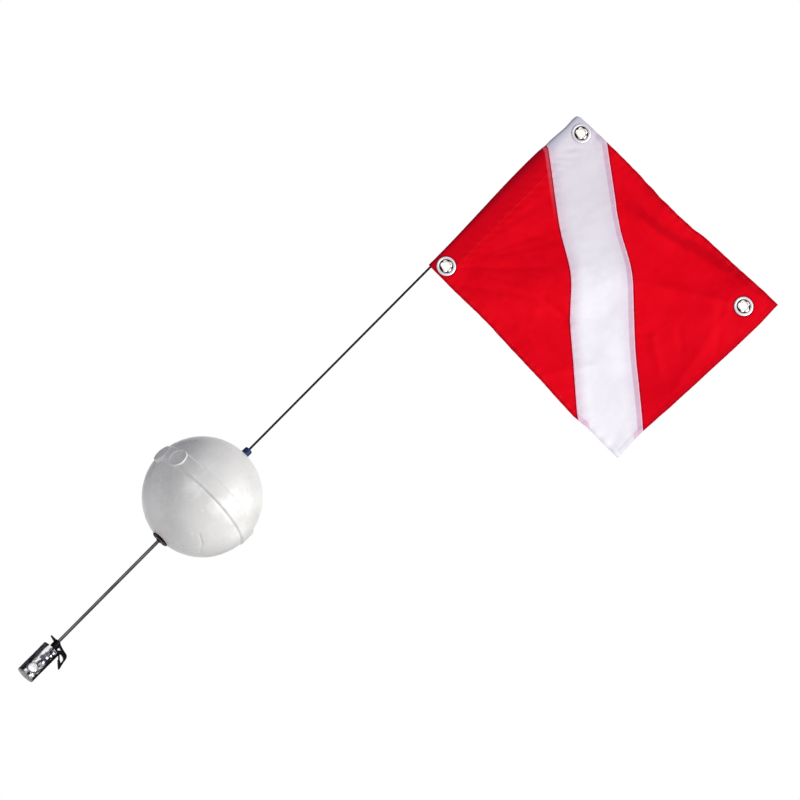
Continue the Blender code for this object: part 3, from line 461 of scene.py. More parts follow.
class Finish:
    """A Principled material, the colour mixed for it so far, and short calls that add nodes."""

    def __init__(self, name, colour, roughness, metallic=0, **sockets):
        self.material = bpy.data.materials.new(name)
        self.material.use_nodes = True
        self.tree = self.material.node_tree
        self.shader = self.tree.nodes["Principled BSDF"]
        self.set("Base Color", (*colour, 1))
        self.set("Roughness", roughness)
        self.set("Metallic", metallic)
        for socket, value in sockets.items():
            self.set(socket.replace("_", " "), value)
        self.material.diffuse_color = (*colour, 1)
        self.place = self.node("ShaderNodeTexCoord").outputs["Object"]

    def set(self, socket, value):
        self.shader.inputs[socket].default_value = value

    def to(self, socket, output):
        self.tree.links.new(output, self.shader.inputs[socket])

    def node(self, kind, inputs=(), **settings):
        return add_node(self.tree, kind, inputs, **settings)

    def flat(self):
        """Where a point lay on the flat cloth, in metres: across and up."""
        return self.node("ShaderNodeAttribute", attribute_name="flat").outputs["Vector"]

    def vector(self, operation, a, b):
        return self.node("ShaderNodeVectorMath", [(0, a), (1, b)], operation=operation).outputs

    def stretch(self, vector, scale):
        return self.vector("MULTIPLY", vector, scale)[0]

    def dot(self, vector, other):
        return self.vector("DOT_PRODUCT", vector, other)["Value"]

    def away(self, point, vector=None):
        """How far the surface is from a point."""
        return self.vector("DISTANCE", vector or self.place, point)["Value"]

    def away_xz(self, x, z):
        """How far the surface is from a line along Y."""
        return self.away((x, 0, z), self.stretch(self.place, (1, 0, 1)))

    def split(self, vector):
        return self.node("ShaderNodeSeparateXYZ", [(0, vector)]).outputs

    def maths(self, operation, a, b=0.0):
        return self.node("ShaderNodeMath", [(0, a), (1, b)], operation=operation).outputs[0]

    def times(self, a, b):
        return self.maths("MULTIPLY", a, b)

    def plus(self, a, b):
        return self.maths("ADD", a, b)

    def less(self, a, b):
        return self.maths("SUBTRACT", a, b)

    def most(self, first, *others):
        for other in others:
            first = self.maths("MAXIMUM", first, other)
        return first

    def noise(self, vector, scale, detail=3.0, roughness=0.5, distortion=0.0):
        return self.node("ShaderNodeTexNoise", [
            ("Vector", vector), ("Scale", scale), ("Detail", detail), ("Roughness", roughness),
            ("Distortion", distortion),
        ]).outputs["Fac"]

    def cells(self, scale, feature="F1", output="Distance"):
        inputs = [("Vector", self.place), ("Scale", scale)]
        return self.node("ShaderNodeTexVoronoi", inputs, feature=feature).outputs[output]

    def band(self, *values):
        return band(self.tree, *values)

    def spread(self, value, *ends):
        """Spreads the middle of a noise's range from one end to the other."""
        return self.band(value, 0.3, 0.7, *ends)

    def rise(self, value, low, high, amount):
        """An amount that comes in as the value goes from low to high millimetres."""
        return self.band(value, low * MM, high * MM, 0.0, amount)

    def fade(self, value, low, high, amount=1.0):
        """An amount that dies away as the value goes from low to high millimetres."""
        return self.band(value, low * MM, high * MM, amount, 0.0)

    def strip(self, value, middle, half, soft):
        """One inside a strip of the value, and nothing outside it. Half and soft are in
        millimetres, and middle is in metres."""
        off = self.maths("ABSOLUTE", self.less(value, middle))
        return self.band(off, half * MM, half * MM + soft * MM, 1.0, 0.0)

    def ground(self, share, low, high):
        """Starts the colour off between two tones."""
        self.colour = mixed(self.tree, share, (*low, 1), (*high, 1))

    def tint(self, share, tone, amount=None):
        """Mixes a tone into the colour, by a share that an amount may lessen."""
        if amount is not None:
            share = self.times(share, amount)
        self.colour = mixed(self.tree, share, self.colour, (*tone, 1))

    def bump(self, height, distance, strength, under=None):
        """A normal bent by a height, over another one. The distance is in millimetres."""
        inputs = [("Height", height), ("Distance", distance * MM), ("Strength", strength)]
        if under is not None:
            inputs.append(("Normal", under))
        return self.node("ShaderNodeBump", inputs).outputs[0]

    def done(self, normal, roughness=None):
        """The material, once its colour, normal and roughness are joined to the shader."""
        self.to("Base Color", self.colour)
        self.to("Normal", normal)
        if roughness is not None:
            self.to("Roughness", roughness)
        return self.material


def bead_foam():
    """White bead foam: faint cells from the beads, a satin skin, a few pale marks, and pale
    patches of painted highlight and painted light.
    """
    f = Finish("bead_foam_skin", (0.69, 0.69, 0.68), 0.32, Specular_IOR_Level=0.6)
    beads = 330
    cloud = f.noise(f.place, 30, 4, 0.6)
    f.ground(f.spread(cloud), (0.668, 0.664, 0.645), (0.726, 0.722, 0.697))
    f.tint(f.split(f.cells(beads, output="Color"))[0], (0.80, 0.80, 0.79), 0.12)
    seam = f.band(f.cells(beads, "DISTANCE_TO_EDGE"), 0.0, 0.09, 0.09, 0.0)
    f.tint(seam, (0.56, 0.56, 0.56))
    blur = f.noise(f.place, 520, 3, 0.6)
    soft = f.spread(f.noise(f.place, 110, 3, 0.6), -0.25, 0.25)
    # Painted highlight and painted light: pale patches where the ball catches the most light
    for x, y, z, r, amount in FOAM_PAINTED_LIGHT:
        away = f.plus(f.away((x, y, z)), f.times(soft, r))
        f.tint(f.band(away, r * 0.2, r * 1.3, amount, 0.0), (0.92, 0.92, 0.90))
    for x, y, z, r in FOAM_MARKS:
        away = f.plus(f.away((x, y, z)), f.times(blur, r * 1.5))
        f.tint(f.band(away, r * 0.8, r * 2.0, 0.42, 0.0), (0.90, 0.90, 0.88))
    skin = f.bump(f.cells(beads), 0.14, 0.3)
    skin = f.bump(seam, -0.12, 0.35, skin)
    skin = f.bump(f.noise(f.place, 60, 3, 0.55), 0.45, 0.38, skin)
    return f.done(skin, f.spread(f.noise(f.place, 90, 3), 0.27, 0.38))


# Patches on the weight's plating: across, up from the cross-hole, radius, tone. The lengths
# are in millimetres. The pale ones are painted highlights
DULL_PATCH = (0.012, 0.012, 0.020)
GREY_PATCH = (0.10, 0.10, 0.14)
PAINTED_HIGHLIGHT_PATCH = (0.95, 0.95, 0.97)
WEIGHT_MARKS = (
    (-1.0, 20.0, 3.6, GREY_PATCH), (1.0, 27.0, 3.6, GREY_PATCH), (3.0, 33.0, 3.0, DULL_PATCH),
    (9.5, 22.0, 4.4, DULL_PATCH), (8.5, 31.0, 4.6, DULL_PATCH), (7.2, 35.5, 1.6, PAINTED_HIGHLIGHT_PATCH),
    (7.4, 29.5, 1.3, PAINTED_HIGHLIGHT_PATCH), (4.4, 23.5, 1.6, PAINTED_HIGHLIGHT_PATCH), (5.8, 14.5, 1.9, PAINTED_HIGHLIGHT_PATCH),
    (-6.5, -9.0, 4.0, GREY_PATCH), (2.0, -10.0, 3.0, DULL_PATCH), (-4.9, -9.6, 1.9, PAINTED_HIGHLIGHT_PATCH),
    (7.4, -8.0, 2.1, PAINTED_HIGHLIGHT_PATCH), (-8.2, 3.0, 2.6, GREY_PATCH),
)


def mottled_metal():
    """The cast weight: bright plating with dark, drawn-out patches and a bright cross-hole, with
    painted highlights in a streak and pale patches, and painted shade over its +X side.
    """
    f = Finish("weight_plating", (0.70, 0.70, 0.72), 0.2, 1)
    x, _, z = f.split(f.place)
    drawn = f.stretch(f.place, (1.0, 1.0, 0.42))
    patch = f.noise(drawn, 170, 4, 0.70, 1.2)
    fine = f.noise(f.stretch(f.place, (1, 1, 0.25)), 620, 3, 0.6)
    # Painted shade: the dark patches reach further over the weight's +X side
    painted_shade_flank = f.rise(x, -2.5, 1.5, 0.11)
    f.ground(f.band(f.less(patch, painted_shade_flank), 0.43, 0.57), (0.030, 0.030, 0.042), (0.92, 0.92, 0.94))
    f.tint(f.band(fine, 0.45, 0.7, 0.0, 0.30), (0.22, 0.22, 0.26))
    line = f.strip(z, WEIGHT_FOOT_Z + 4.3 * MM, 0.3, 0.7)
    f.tint(line, (0.05, 0.05, 0.06), 0.7)
    foot = f.band(z, WEIGHT_FOOT_Z + 2.2 * MM, WEIGHT_FOOT_Z + 3.8 * MM, 0.85, 0.0)
    f.tint(foot, (0.34, 0.335, 0.325))
    # Painted highlight: a bright streak down the weight's -X side, above the cross-hole
    ragged = f.plus(x, f.spread(fine, -1.3 * MM, 1.3 * MM))
    painted_highlight_streak = f.times(f.strip(ragged, -3.9 * MM, 1.3, 1.0),
                     f.band(z, CROSS_HOLE_Z + 11 * MM, CROSS_HOLE_Z + 16 * MM))
    f.tint(painted_highlight_streak, (0.96, 0.95, 0.90), 0.9)
    for mark_x, mark_z, radius, tone in WEIGHT_MARKS:
        off = f.away_xz(mark_x * MM, CROSS_HOLE_Z + mark_z * MM)
        off = f.plus(off, f.band(patch, 0.35, 0.65, -0.9 * MM, 0.9 * MM))
        f.tint(f.fade(off, radius * 0.7, radius * 1.25, 0.92), tone)
    away = f.away_xz(0, CROSS_HOLE_Z)
    rim = f.strip(away, CROSS_HOLE_R + 1.3 * MM, 0.35, 0.5)
    f.tint(rim, (0.06, 0.06, 0.075), 0.75)
    bore = f.band(away, CROSS_HOLE_R + 0.25 * MM, CROSS_HOLE_R + 0.75 * MM, 1.0, 0.0)
    f.tint(bore, (0.97, 0.97, 0.97))
    lumps = f.bump(f.noise(drawn, 95, 3, 0.5, 0.4), 1.3, 0.7)
    rough = f.plus(f.band(patch, 0.35, 0.65, 0.26, 0.12), f.times(foot, 0.22))
    return f.done(f.bump(fine, 0.12, 0.5, lumps), rough)


def drawn_metal(name, light, dark, roughness):
    """Tube stock: fine lines along it, dull patches, and painted shade down one side."""
    f = Finish(name, light, roughness, 1)
    lines = f.noise(f.stretch(f.place, (1, 1, 0.012)), 1500, 3, 0.6)
    cloud = f.noise(f.stretch(f.place, (1, 1, 0.2)), 130, 4, 0.6)
    f.ground(f.times(f.spread(lines), f.band(cloud, 0.25, 0.7)), dark, light)
    # Painted shade: the tube's +X side is darkened
    side = f.rise(f.split(f.place)[0], -0.7, 0.7, 0.95)
    f.tint(side, (0.020, 0.020, 0.024))
    rough = f.spread(cloud, roughness - 0.06, roughness + 0.12)
    return f.done(f.bump(lines, 0.03, 0.5), rough)


def moulded_black(name, colour, roughness, grain):
    """Black moulded or rubber surfaces: fine grain, and dust that lightens it unevenly."""
    f = Finish(name, colour, roughness, Specular_IOR_Level=0.08)
    cloud = f.noise(f.place, 260, 4, 0.62)
    pale = tuple(channel * 2.2 + 0.002 for channel in colour)
    f.ground(f.band(cloud, 0.45, 0.78, 0.0, 0.7), colour, pale)
    rough = f.spread(cloud, roughness - 0.07, roughness + 0.1)
    return f.done(f.bump(f.noise(f.place, grain, 3, 0.55), 0.06, 0.5), rough)


def vinyl():
    """The navy cap: satin vinyl, paler towards its top edge."""
    f = Finish("navy_vinyl_skin", (0.003, 0.026, 0.090), 0.4, Specular_IOR_Level=0.2)
    cloud = f.noise(f.place, 330, 4, 0.6)
    f.ground(f.band(cloud, 0.35, 0.7), (0.002, 0.020, 0.072), (0.005, 0.036, 0.120))
    top_edge_band = f.band(f.split(f.place)[2], CAP_TOP_Z - 2.2 * MM, CAP_TOP_Z - 0.4 * MM, 0.0, 0.35)
    f.tint(top_edge_band, (0.020, 0.075, 0.190))
    grain = f.bump(f.noise(f.place, 900, 3), 0.08, 0.4)
    return f.done(grain, f.spread(cloud, 0.34, 0.5))


def black_rod():
    """Glass fibre rod: satin black with long faint fibres and pale scuffs."""
    f = Finish("rod_skin", (0.003, 0.003, 0.004), 0.34, Specular_IOR_Level=0.10)
    fibres = f.noise(f.stretch(f.place, (1, 1, 0.01)), 2400, 3, 0.6)
    scuff = f.noise(f.stretch(f.place, (1, 1, 0.35)), 170, 5, 0.7)
    f.ground(f.band(fibres, 0.35, 0.7), (0.002, 0.002, 0.003), (0.006, 0.006, 0.007))
    f.tint(f.band(scuff, 0.66, 0.80, 0.0, 0.4), (0.040, 0.038, 0.040))
    return f.done(f.bump(fibres, 0.03, 0.5), f.band(scuff, 0.4, 0.75, 0.30, 0.55))


def pale_plastic():
    """The liner: off-white moulded plastic."""
    f = Finish("liner_skin", (0.84, 0.76, 0.75), 0.42, Specular_IOR_Level=0.45)
    cloud = f.noise(f.place, 300, 4, 0.6)
    f.ground(f.spread(cloud), (0.80, 0.70, 0.69), (0.88, 0.84, 0.82))
    return f.done(f.bump(f.noise(f.place, 700, 3), 0.06, 0.4))


def dark_steel():
    """Black oxide steel, with a painted brown highlight ring near the nut's edge."""
    f = Finish("oxide_steel", (0.03, 0.022, 0.020), 0.36, 0.75)
    cloud = f.noise(f.place, 420, 4, 0.65)
    f.ground(f.band(cloud, 0.45, 0.75), (0.010, 0.008, 0.008), (0.06, 0.045, 0.04))
    away = f.away((0, 0, 0), f.stretch(f.place, (1, 1, 0)))
    # Painted highlight: a brown ring round the nut's edge
    f.tint(f.strip(away, NUT_R - 0.3 * MM, 0.4, 0.4), (0.42, 0.31, 0.28), 0.85)
    grain = f.bump(f.noise(f.place, 1200, 3), 0.04, 0.5)
    return f.done(grain, f.spread(cloud, 0.46, 0.3))


def plated(name, bright, worn, wear_low, wear_high, roughness, rings=()):
    """Grommet metal: plating with worn and tarnished patches, and tones in rings round the
    grommets, which on the nickel include painted shadow and painted shade.
    """
    f = Finish(name, bright, roughness, 1)
    cloud = f.noise(f.place, 380, 5, 0.66)
    f.ground(f.band(cloud, wear_low, wear_high), bright, worn)
    away = 1.0
    for x, z in GROMMETS:
        away = f.maths("MINIMUM", f.away_xz(x, FLAG_BOTTOM_Z + z), away)
    # Rings of tone round the grommets; on the nickel they include painted shadow and painted shade
    for radius, half, amount, tone in rings:
        f.tint(f.strip(away, radius, half, 0.35), tone, amount)
    rough = f.spread(cloud, roughness - 0.06, roughness + 0.12)
    return f.done(f.bump(f.noise(f.place, 1900, 3, 0.6), 0.05, 0.5), rough)


def weave(f, flat, crumple):
    """A light crumple over fine plain weave: threads both ways, one over the other."""
    across, up = f.split(flat)[:2]
    turn = math.tau / THREAD_PITCH
    warp = f.maths("SINE", f.times(across, turn))
    weft = f.maths("SINE", f.times(up, turn))
    fine = f.bump(f.times(warp, weft), 0.05, 0.5)
    return f.bump(f.noise(flat, crumple, 4, 0.6, 0.5), 0.6, 0.3, fine)


def thread_lines(f, flat):
    """Faint lines along the threads."""
    return f.spread(f.noise(f.stretch(flat, (1.0, 0.03, 1.0)), 900, 2, 0.5), 0.0, 0.10)


def stitch_shade(f, across, up):
    """How close a point is to a row of stitches in a hem or in the sleeve."""
    return f.most(
        f.strip(up, STITCH_INSET, 0.15, 0.5),
        f.strip(up, FLAG_HOIST - STITCH_INSET, 0.15, 0.5),
        f.strip(across, FLAG_FLY - STITCH_INSET, 0.15, 0.5),
        f.strip(across, SLEEVE_STITCH, 0.15, 0.6),
    )


def hem_share(f, across, up):
    """One in a hem, and nothing in plain cloth."""
    return f.most(
        f.band(up, HEM_WIDTH - 0.5 * MM, HEM_WIDTH + 0.4 * MM, 1.0, 0.0),
        f.band(up, TOP_HEM - 0.4 * MM, TOP_HEM + 0.5 * MM),
        f.band(across, FLY_HEM - 0.4 * MM, FLY_HEM + 0.5 * MM),
    )


def grommet_shade(f, *centres):
    """The cloth's painted shadow: a dark ring close round each grommet's washer."""
    low, high = GROMMET_WASHER_R + 0.5 * MM, GROMMET_WASHER_R + 3.0 * MM
    return f.most(0.0, *(
        f.band(f.away_xz(x, FLAG_BOTTOM_Z + z), low, high, 1.0, 0.0) for x, z in centres))


def past_seam(f, flat, seam, back):
    """How far a point of the cloth is past a seam of the stripe, or back from it."""
    point, normal = seam
    here, there = f.dot(flat, tuple(normal)), normal.dot(point)
    return f.less(there, here) if back else f.less(here, there)


def red_nylon():
    """Red cloth: painted shade in the sleeve, along the edges and where the fly panel leans;
    painted shadow of the rod and round the grommets; darker in the hems and towards the fly.
    """
    f = Finish("red_nylon_weave", (0.72, 0.001, 0.009), 0.5, Specular_IOR_Level=0.02)
    flat = f.flat()
    across, up = f.split(flat)[:2]
    cloud = f.noise(flat, 26, 4, 0.6)
    f.ground(f.spread(cloud), (0.675, 0.0006, 0.0075), (0.735, 0.0014, 0.0105))
    f.tint(thread_lines(f, flat), (0.56, 0.0, 0.006))
    # Painted shade over the sleeve, where the cloth wraps the rod
    f.tint(f.fade(across, 26, 28.5, 0.34), (0.40, 0.0, 0.006))
    # Painted shade where the sleeve bellies out, more of it higher up
    belly = f.times(f.fade(across, 4, 20), f.rise(up, 30, 230, 0.34))
    f.tint(belly, (0.30, 0.0, 0.008))
    # Painted shade on the part of the fly panel that leans under the top hem
    above = f.less(f.dot(flat, (*LEAN_NORMAL, 0)), LEAN_OFFSET)
    above = f.plus(above, f.spread(f.noise(flat, 34, 2), -3 * MM, 3 * MM))
    lean_painted_shade = f.times(f.strip(above, 7.5 * MM, 2, 11),
                   f.rise(across, 105, 175, 0.58))
    f.tint(lean_painted_shade, (0.42, 0.0, 0.006))
    f.tint(f.rise(across, 270, 345, 0.42), (0.55, 0.0, 0.0075))
    # Painted shadow of the rod, close along the hoist edge
    f.tint(f.fade(across, 0.5, 8, 0.62), (0.26, 0.001, 0.010))
    # Painted shade along the foot, top and fly edges
    for off in (up, f.less(FLAG_HOIST, up), f.less(FLAG_FLY, across)):
        f.tint(f.fade(off, 0.6, 4.5, 0.58), (0.27, 0.0, 0.006))
    f.tint(hem_share(f, across, up), (0.44, 0.0, 0.008), 0.16)
    f.tint(stitch_shade(f, across, up), (0.40, 0.0, 0.004), 0.10)
    left, right = stripe_edges()
    to_left, to_right = past_seam(f, flat, left, True), past_seam(f, flat, right, False)
    # Painted shadow: a fine dark line just past each seam of the stripe
    for off in (to_left, to_right):
        f.tint(f.strip(off, 0.9 * MM, 0.5, 1.0), (0.30, 0.002, 0.012))
    worn = f.band(up, STRIPE_LEFT_W - 75 * MM, STRIPE_LEFT_W - 15 * MM, 0.0, 0.75)
    f.tint(f.strip(to_left, 3.4 * MM, 1.3, 1.8), (0.60, 0.075, 0.110), worn)
    f.tint(grommet_shade(f, HOIST_GROMMET, FLY_GROMMET), (0.22, 0.0, 0.008), 0.8)
    return f.done(weave(f, flat, 110), f.spread(cloud, 0.46, 0.58))


def white_nylon():
    """White cloth: painted shade towards its upper end, its seams and its edges, painted shadow
    of the rod along the hoist, and mauve along its seams and hems.
    """
    f = Finish("white_nylon_weave", (0.84, 0.82, 0.86), 0.45, Specular_IOR_Level=0.2,
               Sheen_Weight=0.05, Sheen_Roughness=0.4)
    flat = f.flat()
    across, up = f.split(flat)[:2]
    cloud = f.noise(flat, 24, 4, 0.6)
    f.ground(f.spread(cloud), (0.765, 0.742, 0.800), (0.825, 0.810, 0.850))
    # Painted shade over the stripe's upper end
    upper_painted_shade = f.rise(f.less(up, across), -12, 88, 0.75)
    f.tint(upper_painted_shade, (0.665, 0.630, 0.690))
    f.tint(thread_lines(f, flat), (0.70, 0.67, 0.75))
    left, right = stripe_edges()
    from_right, from_left = past_seam(f, flat, right, True), past_seam(f, flat, left, False)
    for off, low, high, amount, tone in (
        # Painted shade: a broad soft band inside the right seam
        (from_right, 5, 24, 0.45, (0.64, 0.52, 0.63)),
        (from_right, 6.2, 8.2, 0.80, (0.56, 0.350, 0.47)),
        (from_right, 1.0, 2.2, 0.85, (0.92, 0.47, 0.58)),
        # Painted shade: a broad soft band inside the left seam
        (from_left, 2.5, 20, 0.60, (0.66, 0.52, 0.62)),
        (from_left, 1.0, 2.4, 0.85, (0.92, 0.44, 0.54)),
    ):
        f.tint(f.fade(off, low, high, amount), tone)
    f.tint(stitch_shade(f, across, up), (0.55, 0.52, 0.64), 0.12)
    # Painted shadow of the rod through the cloth, along the hoist edge
    f.tint(f.fade(across, 1.0, 15, 0.85), (0.44, 0.455, 0.545))
    # Painted shade along the top hem and the foot edge
    f.tint(f.fade(f.less(FLAG_HOIST, up), 0, 11, 0.6), (0.50, 0.49, 0.57))
    f.tint(f.strip(up, 0.0, 1.5, 2.5), (0.55, 0.50, 0.60), 0.35)
    inner = f.less(FLAG_HOIST - 8 * MM, up)
    wedge = f.fade(f.less(from_right, f.times(inner, -2.2)), 4, 16, 0.55)
    wedge = f.times(wedge, f.fade(inner, -8, 4))
    f.tint(wedge, (0.58, 0.43, 0.55))
    for beside, off in ((from_left, up), (from_right, f.less(FLAG_FLY, across))):
        patch = f.times(f.band(off, HEM_WIDTH, HEM_WIDTH + 1.2 * MM, 0.72, 0.0),
                        f.fade(beside, 12.6, 13.8))
        f.tint(patch, (0.66, 0.42, 0.56))
    f.tint(grommet_shade(f, TOP_GROMMET), (0.50, 0.49, 0.58), 0.5)
    return f.done(weave(f, flat, 100), f.spread(cloud, 0.42, 0.55))


def thread(name, colour):
    """Sewing thread: two tones in a fine twist."""
    f = Finish(name, colour, 0.55, Sheen_Weight=0.15)
    twist = f.noise(f.place, 2600, 2, 0.5)
    f.ground(f.band(twist, 0.35, 0.65), tuple(channel * 0.6 for channel in colour), colour)
    return f.done(f.bump(twist, 0.05, 0.6))


# Pole

def make_pole():
    step = TUBE_R - CRIMP_R
    low, high = CRIMP_Z - 4 * MM, CRIMP_Z
    tube = turned("tube_shaft", [
        (TUBE_R, TUBE_TOP_Z, 0.12), (TUBE_R, high + step, 0.4), (CRIMP_R, high - step, 0.4),
        (CRIMP_R, low + step, 0.4), (TUBE_R, low - step, 0.4), (TUBE_R, TUBE_FOOT_Z, 0.12),
        (TUBE_BORE_R, TUBE_FOOT_Z), (TUBE_BORE_R, TUBE_TOP_Z),
    ], 40)
    placed(tube, "spar", "lower_tube", "tube")
    rod = turned("rod_shaft", [
        (0, ROD_TOP_Z), (ROD_R, ROD_TOP_Z, 0.35), (ROD_R, ROD_FOOT_Z, 0.35), (0, ROD_FOOT_Z),
    ], 32, closed=False)
    placed(rod, "mast", "upper_rod", "rod")
    low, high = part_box("rod_tip_cap")
    radius = (high.x - low.x) / 2
    tip = turned("rod_tip_sleeve", [
        (0, high.z), (radius, high.z, 1.1), (radius, low.z, 0.2), (ROD_R + GAP, low.z),
        (ROD_R + GAP, ROD_TOP_Z + GAP), (0, ROD_TOP_Z + GAP),
    ], 40, closed=False)
    placed(tip, "mast", "rod_tip_cap", "vinyl")


def make_stop_cap():
    waist = CAP_R - 0.25 * MM
    cap = turned("cap_sleeve", [
        (ROD_R + GAP, CAP_TOP_Z - 0.3 * MM, 0.2), (ROD_R + 1.1 * MM, CAP_TOP_Z, 0.5),
        (CAP_R - 0.4 * MM, CAP_TOP_Z, 2.2), (waist, CAP_TOP_Z - 4.5 * MM, 1.5),
        (waist, CAP_FOOT_Z + 3.4 * MM, 0.8), (CAP_R, CAP_FOOT_Z + 2.8 * MM, 0.3),
        (CAP_R, CAP_FOOT_Z, 0.35), (TUBE_R + GAP, CAP_FOOT_Z),
        (TUBE_R + GAP, TUBE_TOP_Z + GAP), (ROD_R + GAP, TUBE_TOP_Z + GAP),
    ], 56)
    placed(cap, "spar", "stop_cap", "vinyl")


# Float

def belt_rise(angle, z):
    """How far the belt and its edges stand out of the ball. They die away beside the bosses."""
    boss = BOSSES[0][0]
    turn = (angle - boss + math.pi) % math.tau - math.pi
    blur = bell(turn / (BLUR_AHEAD if turn > 0 else BLUR_BEHIND))
    foot_run = (BELT_FOOT_RUN + BLUR_RUN * blur) * MM
    top_run = (BELT_TOP_RUN + BLUR_RUN * blur) * MM
    flat = BELT_R - math.sqrt(BALL_R**2 - z**2)
    foot = smooth_share((z - BELT_FOOT_Z + foot_run * 0.6) / foot_run)
    top = smooth_share((BELT_TOP_Z + top_run * 0.4 - z) / top_run)
    rise = flat * foot * top
    rise -= 1.05 * MM * (1 - blur) * bell((z - BELT_FOOT_Z + foot_run * 0.62) / (1.6 * MM))
    rise -= 0.50 * MM * (1 - blur) * bell((z - BELT_TOP_Z - 0.6 * MM) / (0.8 * MM))
    return rise


def foam_profile():
    """The ball's outline from its upper seat to its lower one. The rows lie closest at the
    belt's two edges, and away from the belt they are even in angle."""
    heights = [TOP_SEAT_Z]
    for start, end, count in (
        (math.asin(TOP_SEAT_R / BALL_R), math.acos((BELT_TOP_Z + 5 * MM) / BALL_R), 30),
        (None, BELT_TOP_Z - 4 * MM, 18),
        (None, BELT_FOOT_Z + 4 * MM, 6),
        (None, BELT_FOOT_Z - 9 * MM, 26),
        (math.acos((BELT_FOOT_Z - 9 * MM) / BALL_R), math.acos(LOW_SEAT_Z / BALL_R), 26),
    ):
        if start is None:
            heights += places([(heights[-1], end, count)])[1:]
        else:
            heights += [BALL_R * math.cos(angle) for angle in places([(start, end, count)])[1:]]
    side = [(math.sqrt(BALL_R**2 - height**2), height) for height in heights]
    return [(BORE_R, TOP_SEAT_Z), *side, (BORE_R, LOW_SEAT_Z)]


def camera_axes():
    """Which ways the picture's right and its top point."""
    across = Vector((1, 0, 0))
    upright = Vector((0, -VIEW_SINE, VIEW_COSINE))
    sine, cosine = math.sin(VIEW_ROLL), math.cos(VIEW_ROLL)
    return sine * across + cosine * upright, -cosine * across + sine * upright


def on_ball(px, py):
    """The point of the ball that the photograph shows at a pixel."""
    right, up = camera_axes()
    x = (px - BALL_PIXEL[0]) * PIXEL / BALL_R
    y = -(py - BALL_PIXEL[1]) * PIXEL / BALL_R
    depth = math.sqrt(max(0.0, 1 - x * x - y * y))
    return (right * x + up * y + VIEW_BACK * depth) * BALL_R


# Small pale marks in the foam's skin: a pixel of the photograph and a radius in millimetres
FOAM_SPOTS = (
    (177, 498, 2.2), (203, 510, 2.8), (184, 517, 1.8), (193, 533, 2.6), (220, 453, 2.4),
    (236, 470, 2.4), (241, 457, 1.6), (195, 487, 3.0), (197, 483, 2.0), (240, 492, 1.6),
    (168, 470, 1.4),
)
FOAM_MARKS = tuple((*on_ball(px, py), r * MM) for px, py, r in FOAM_SPOTS)

# Broad pale patches of painted highlight and painted light on it: the same, and how pale
FOAM_PAINTED_LIGHT = tuple((*on_ball(px, py), r * MM, amount) for px, py, r, amount in (
    (217, 507, 13, 0.55), (193.5, 486, 17, 0.62), (246, 503, 20, 0.50), (240, 532, 17, 0.45),
    (232, 515, 13, 0.40), (243, 484, 15, 0.30), (150, 500, 40, 0.42), (166, 462, 34, 0.42),
    (207, 466, 16, 0.30),
))

# Dents and scratches in the ball: pixels of their ends in the photograph, depth and width
FOAM_LINES = (
    ((199.8, 533.3), (202.3, 541.7), 0.8, 1.2),
    ((202.3, 541.7), (201.0, 551.7), 0.9, 1.2),
    ((167.3, 541.7), (182.0, 543.7), 0.35, 1.0),
    ((246.0, 508.0), (259.0, 495.0), 0.35, 1.2),
)


def segment_away(point, start, end):
    """How far a point is from a line between two ends."""
    along = end - start
    share = min(max((point - start).dot(along) / along.length_squared, 0), 1)
    return (point - start - along * share).length


def make_float():
    def belted(angle, radius, height):
        if radius < BALL_R / 2:
            return radius, height
        return radius + belt_rise(angle, height), height

    ball = turned("float_ball", foam_profile(), 224, warp=belted, sharp=40)
    reach = BELT_R + BOSS_RISE
    for angle, height, dip, edge in BOSSES:
        boss = turned("boss", [
            (0, reach - dip), (BOSS_R - 3.4 * MM, reach - dip, 0.8),
            (BOSS_R - 2.4 * MM, reach, 0.7), (BOSS_R - 0.3 * MM, reach, edge),
            (BOSS_R + 0.5 * MM, BELT_R - BOSS_R), (0, BELT_R - BOSS_R),
        ], 64, closed=False)
        outward = Vector((math.cos(angle), math.sin(angle), 0))
        turn = outward.to_track_quat("Z", "Y").to_matrix().to_4x4()
        boss.data.transform(Matrix.Translation((0, 0, height)) @ turn)
        combine(ball, boss, "UNION")
    lines = [(on_ball(*a), on_ball(*b), depth, width) for a, b, depth, width in FOAM_LINES]
    bm = bmesh.new()
    bm.from_mesh(ball.data)
    near = [
        face for face in bm.faces
        if any(segment_away(face.calc_center_median(), *line[:2]) < 5 * MM for line in lines)
    ]
    edges = list({edge for face in near for edge in face.edges})
    bmesh.ops.subdivide_edges(bm, edges=edges, cuts=2, use_grid_fill=True)
    for vert in bm.verts:
        if vert.co.length < BALL_R - 2 * MM:
            continue
        push = 0.30 * MM * noise.noise(vert.co * 38) + 0.10 * MM * noise.noise(vert.co * 130)
        for start, end, depth, width in lines:
            away = segment_away(vert.co, start, end)
            if away < 6 * MM:
                push -= depth * MM * math.exp(-((away / (width * MM)) ** 2))
        for x, y, z, radius in FOAM_MARKS:
            away = (vert.co - Vector((x, y, z))).length
            if away < 4 * radius:
                push -= 0.12 * MM * math.exp(-((away / radius) ** 2))
        vert.co += vert.co.normalized() * push
    bm.to_mesh(ball.data)
    bm.free()
    smoothed(ball, 40)
    placed(ball, "float", "foam_ball", "foam")
    liner = turned("liner_sleeve", [
        (LINER_R, TOP_SEAT_Z, 0.2), (LINER_R, LOW_SEAT_Z - GAP),
        (LINER_FLANGE_R, LOW_SEAT_Z - GAP, 0.3), (LINER_FLANGE_R, LINER_FLANGE_Z, 0.5),
        (LINER_BORE_R, LINER_FLANGE_Z, 0.2), (LINER_BORE_R, TOP_SEAT_Z, 0.2),
    ], 64)
    placed(liner, "float", "bore_liner", "liner")


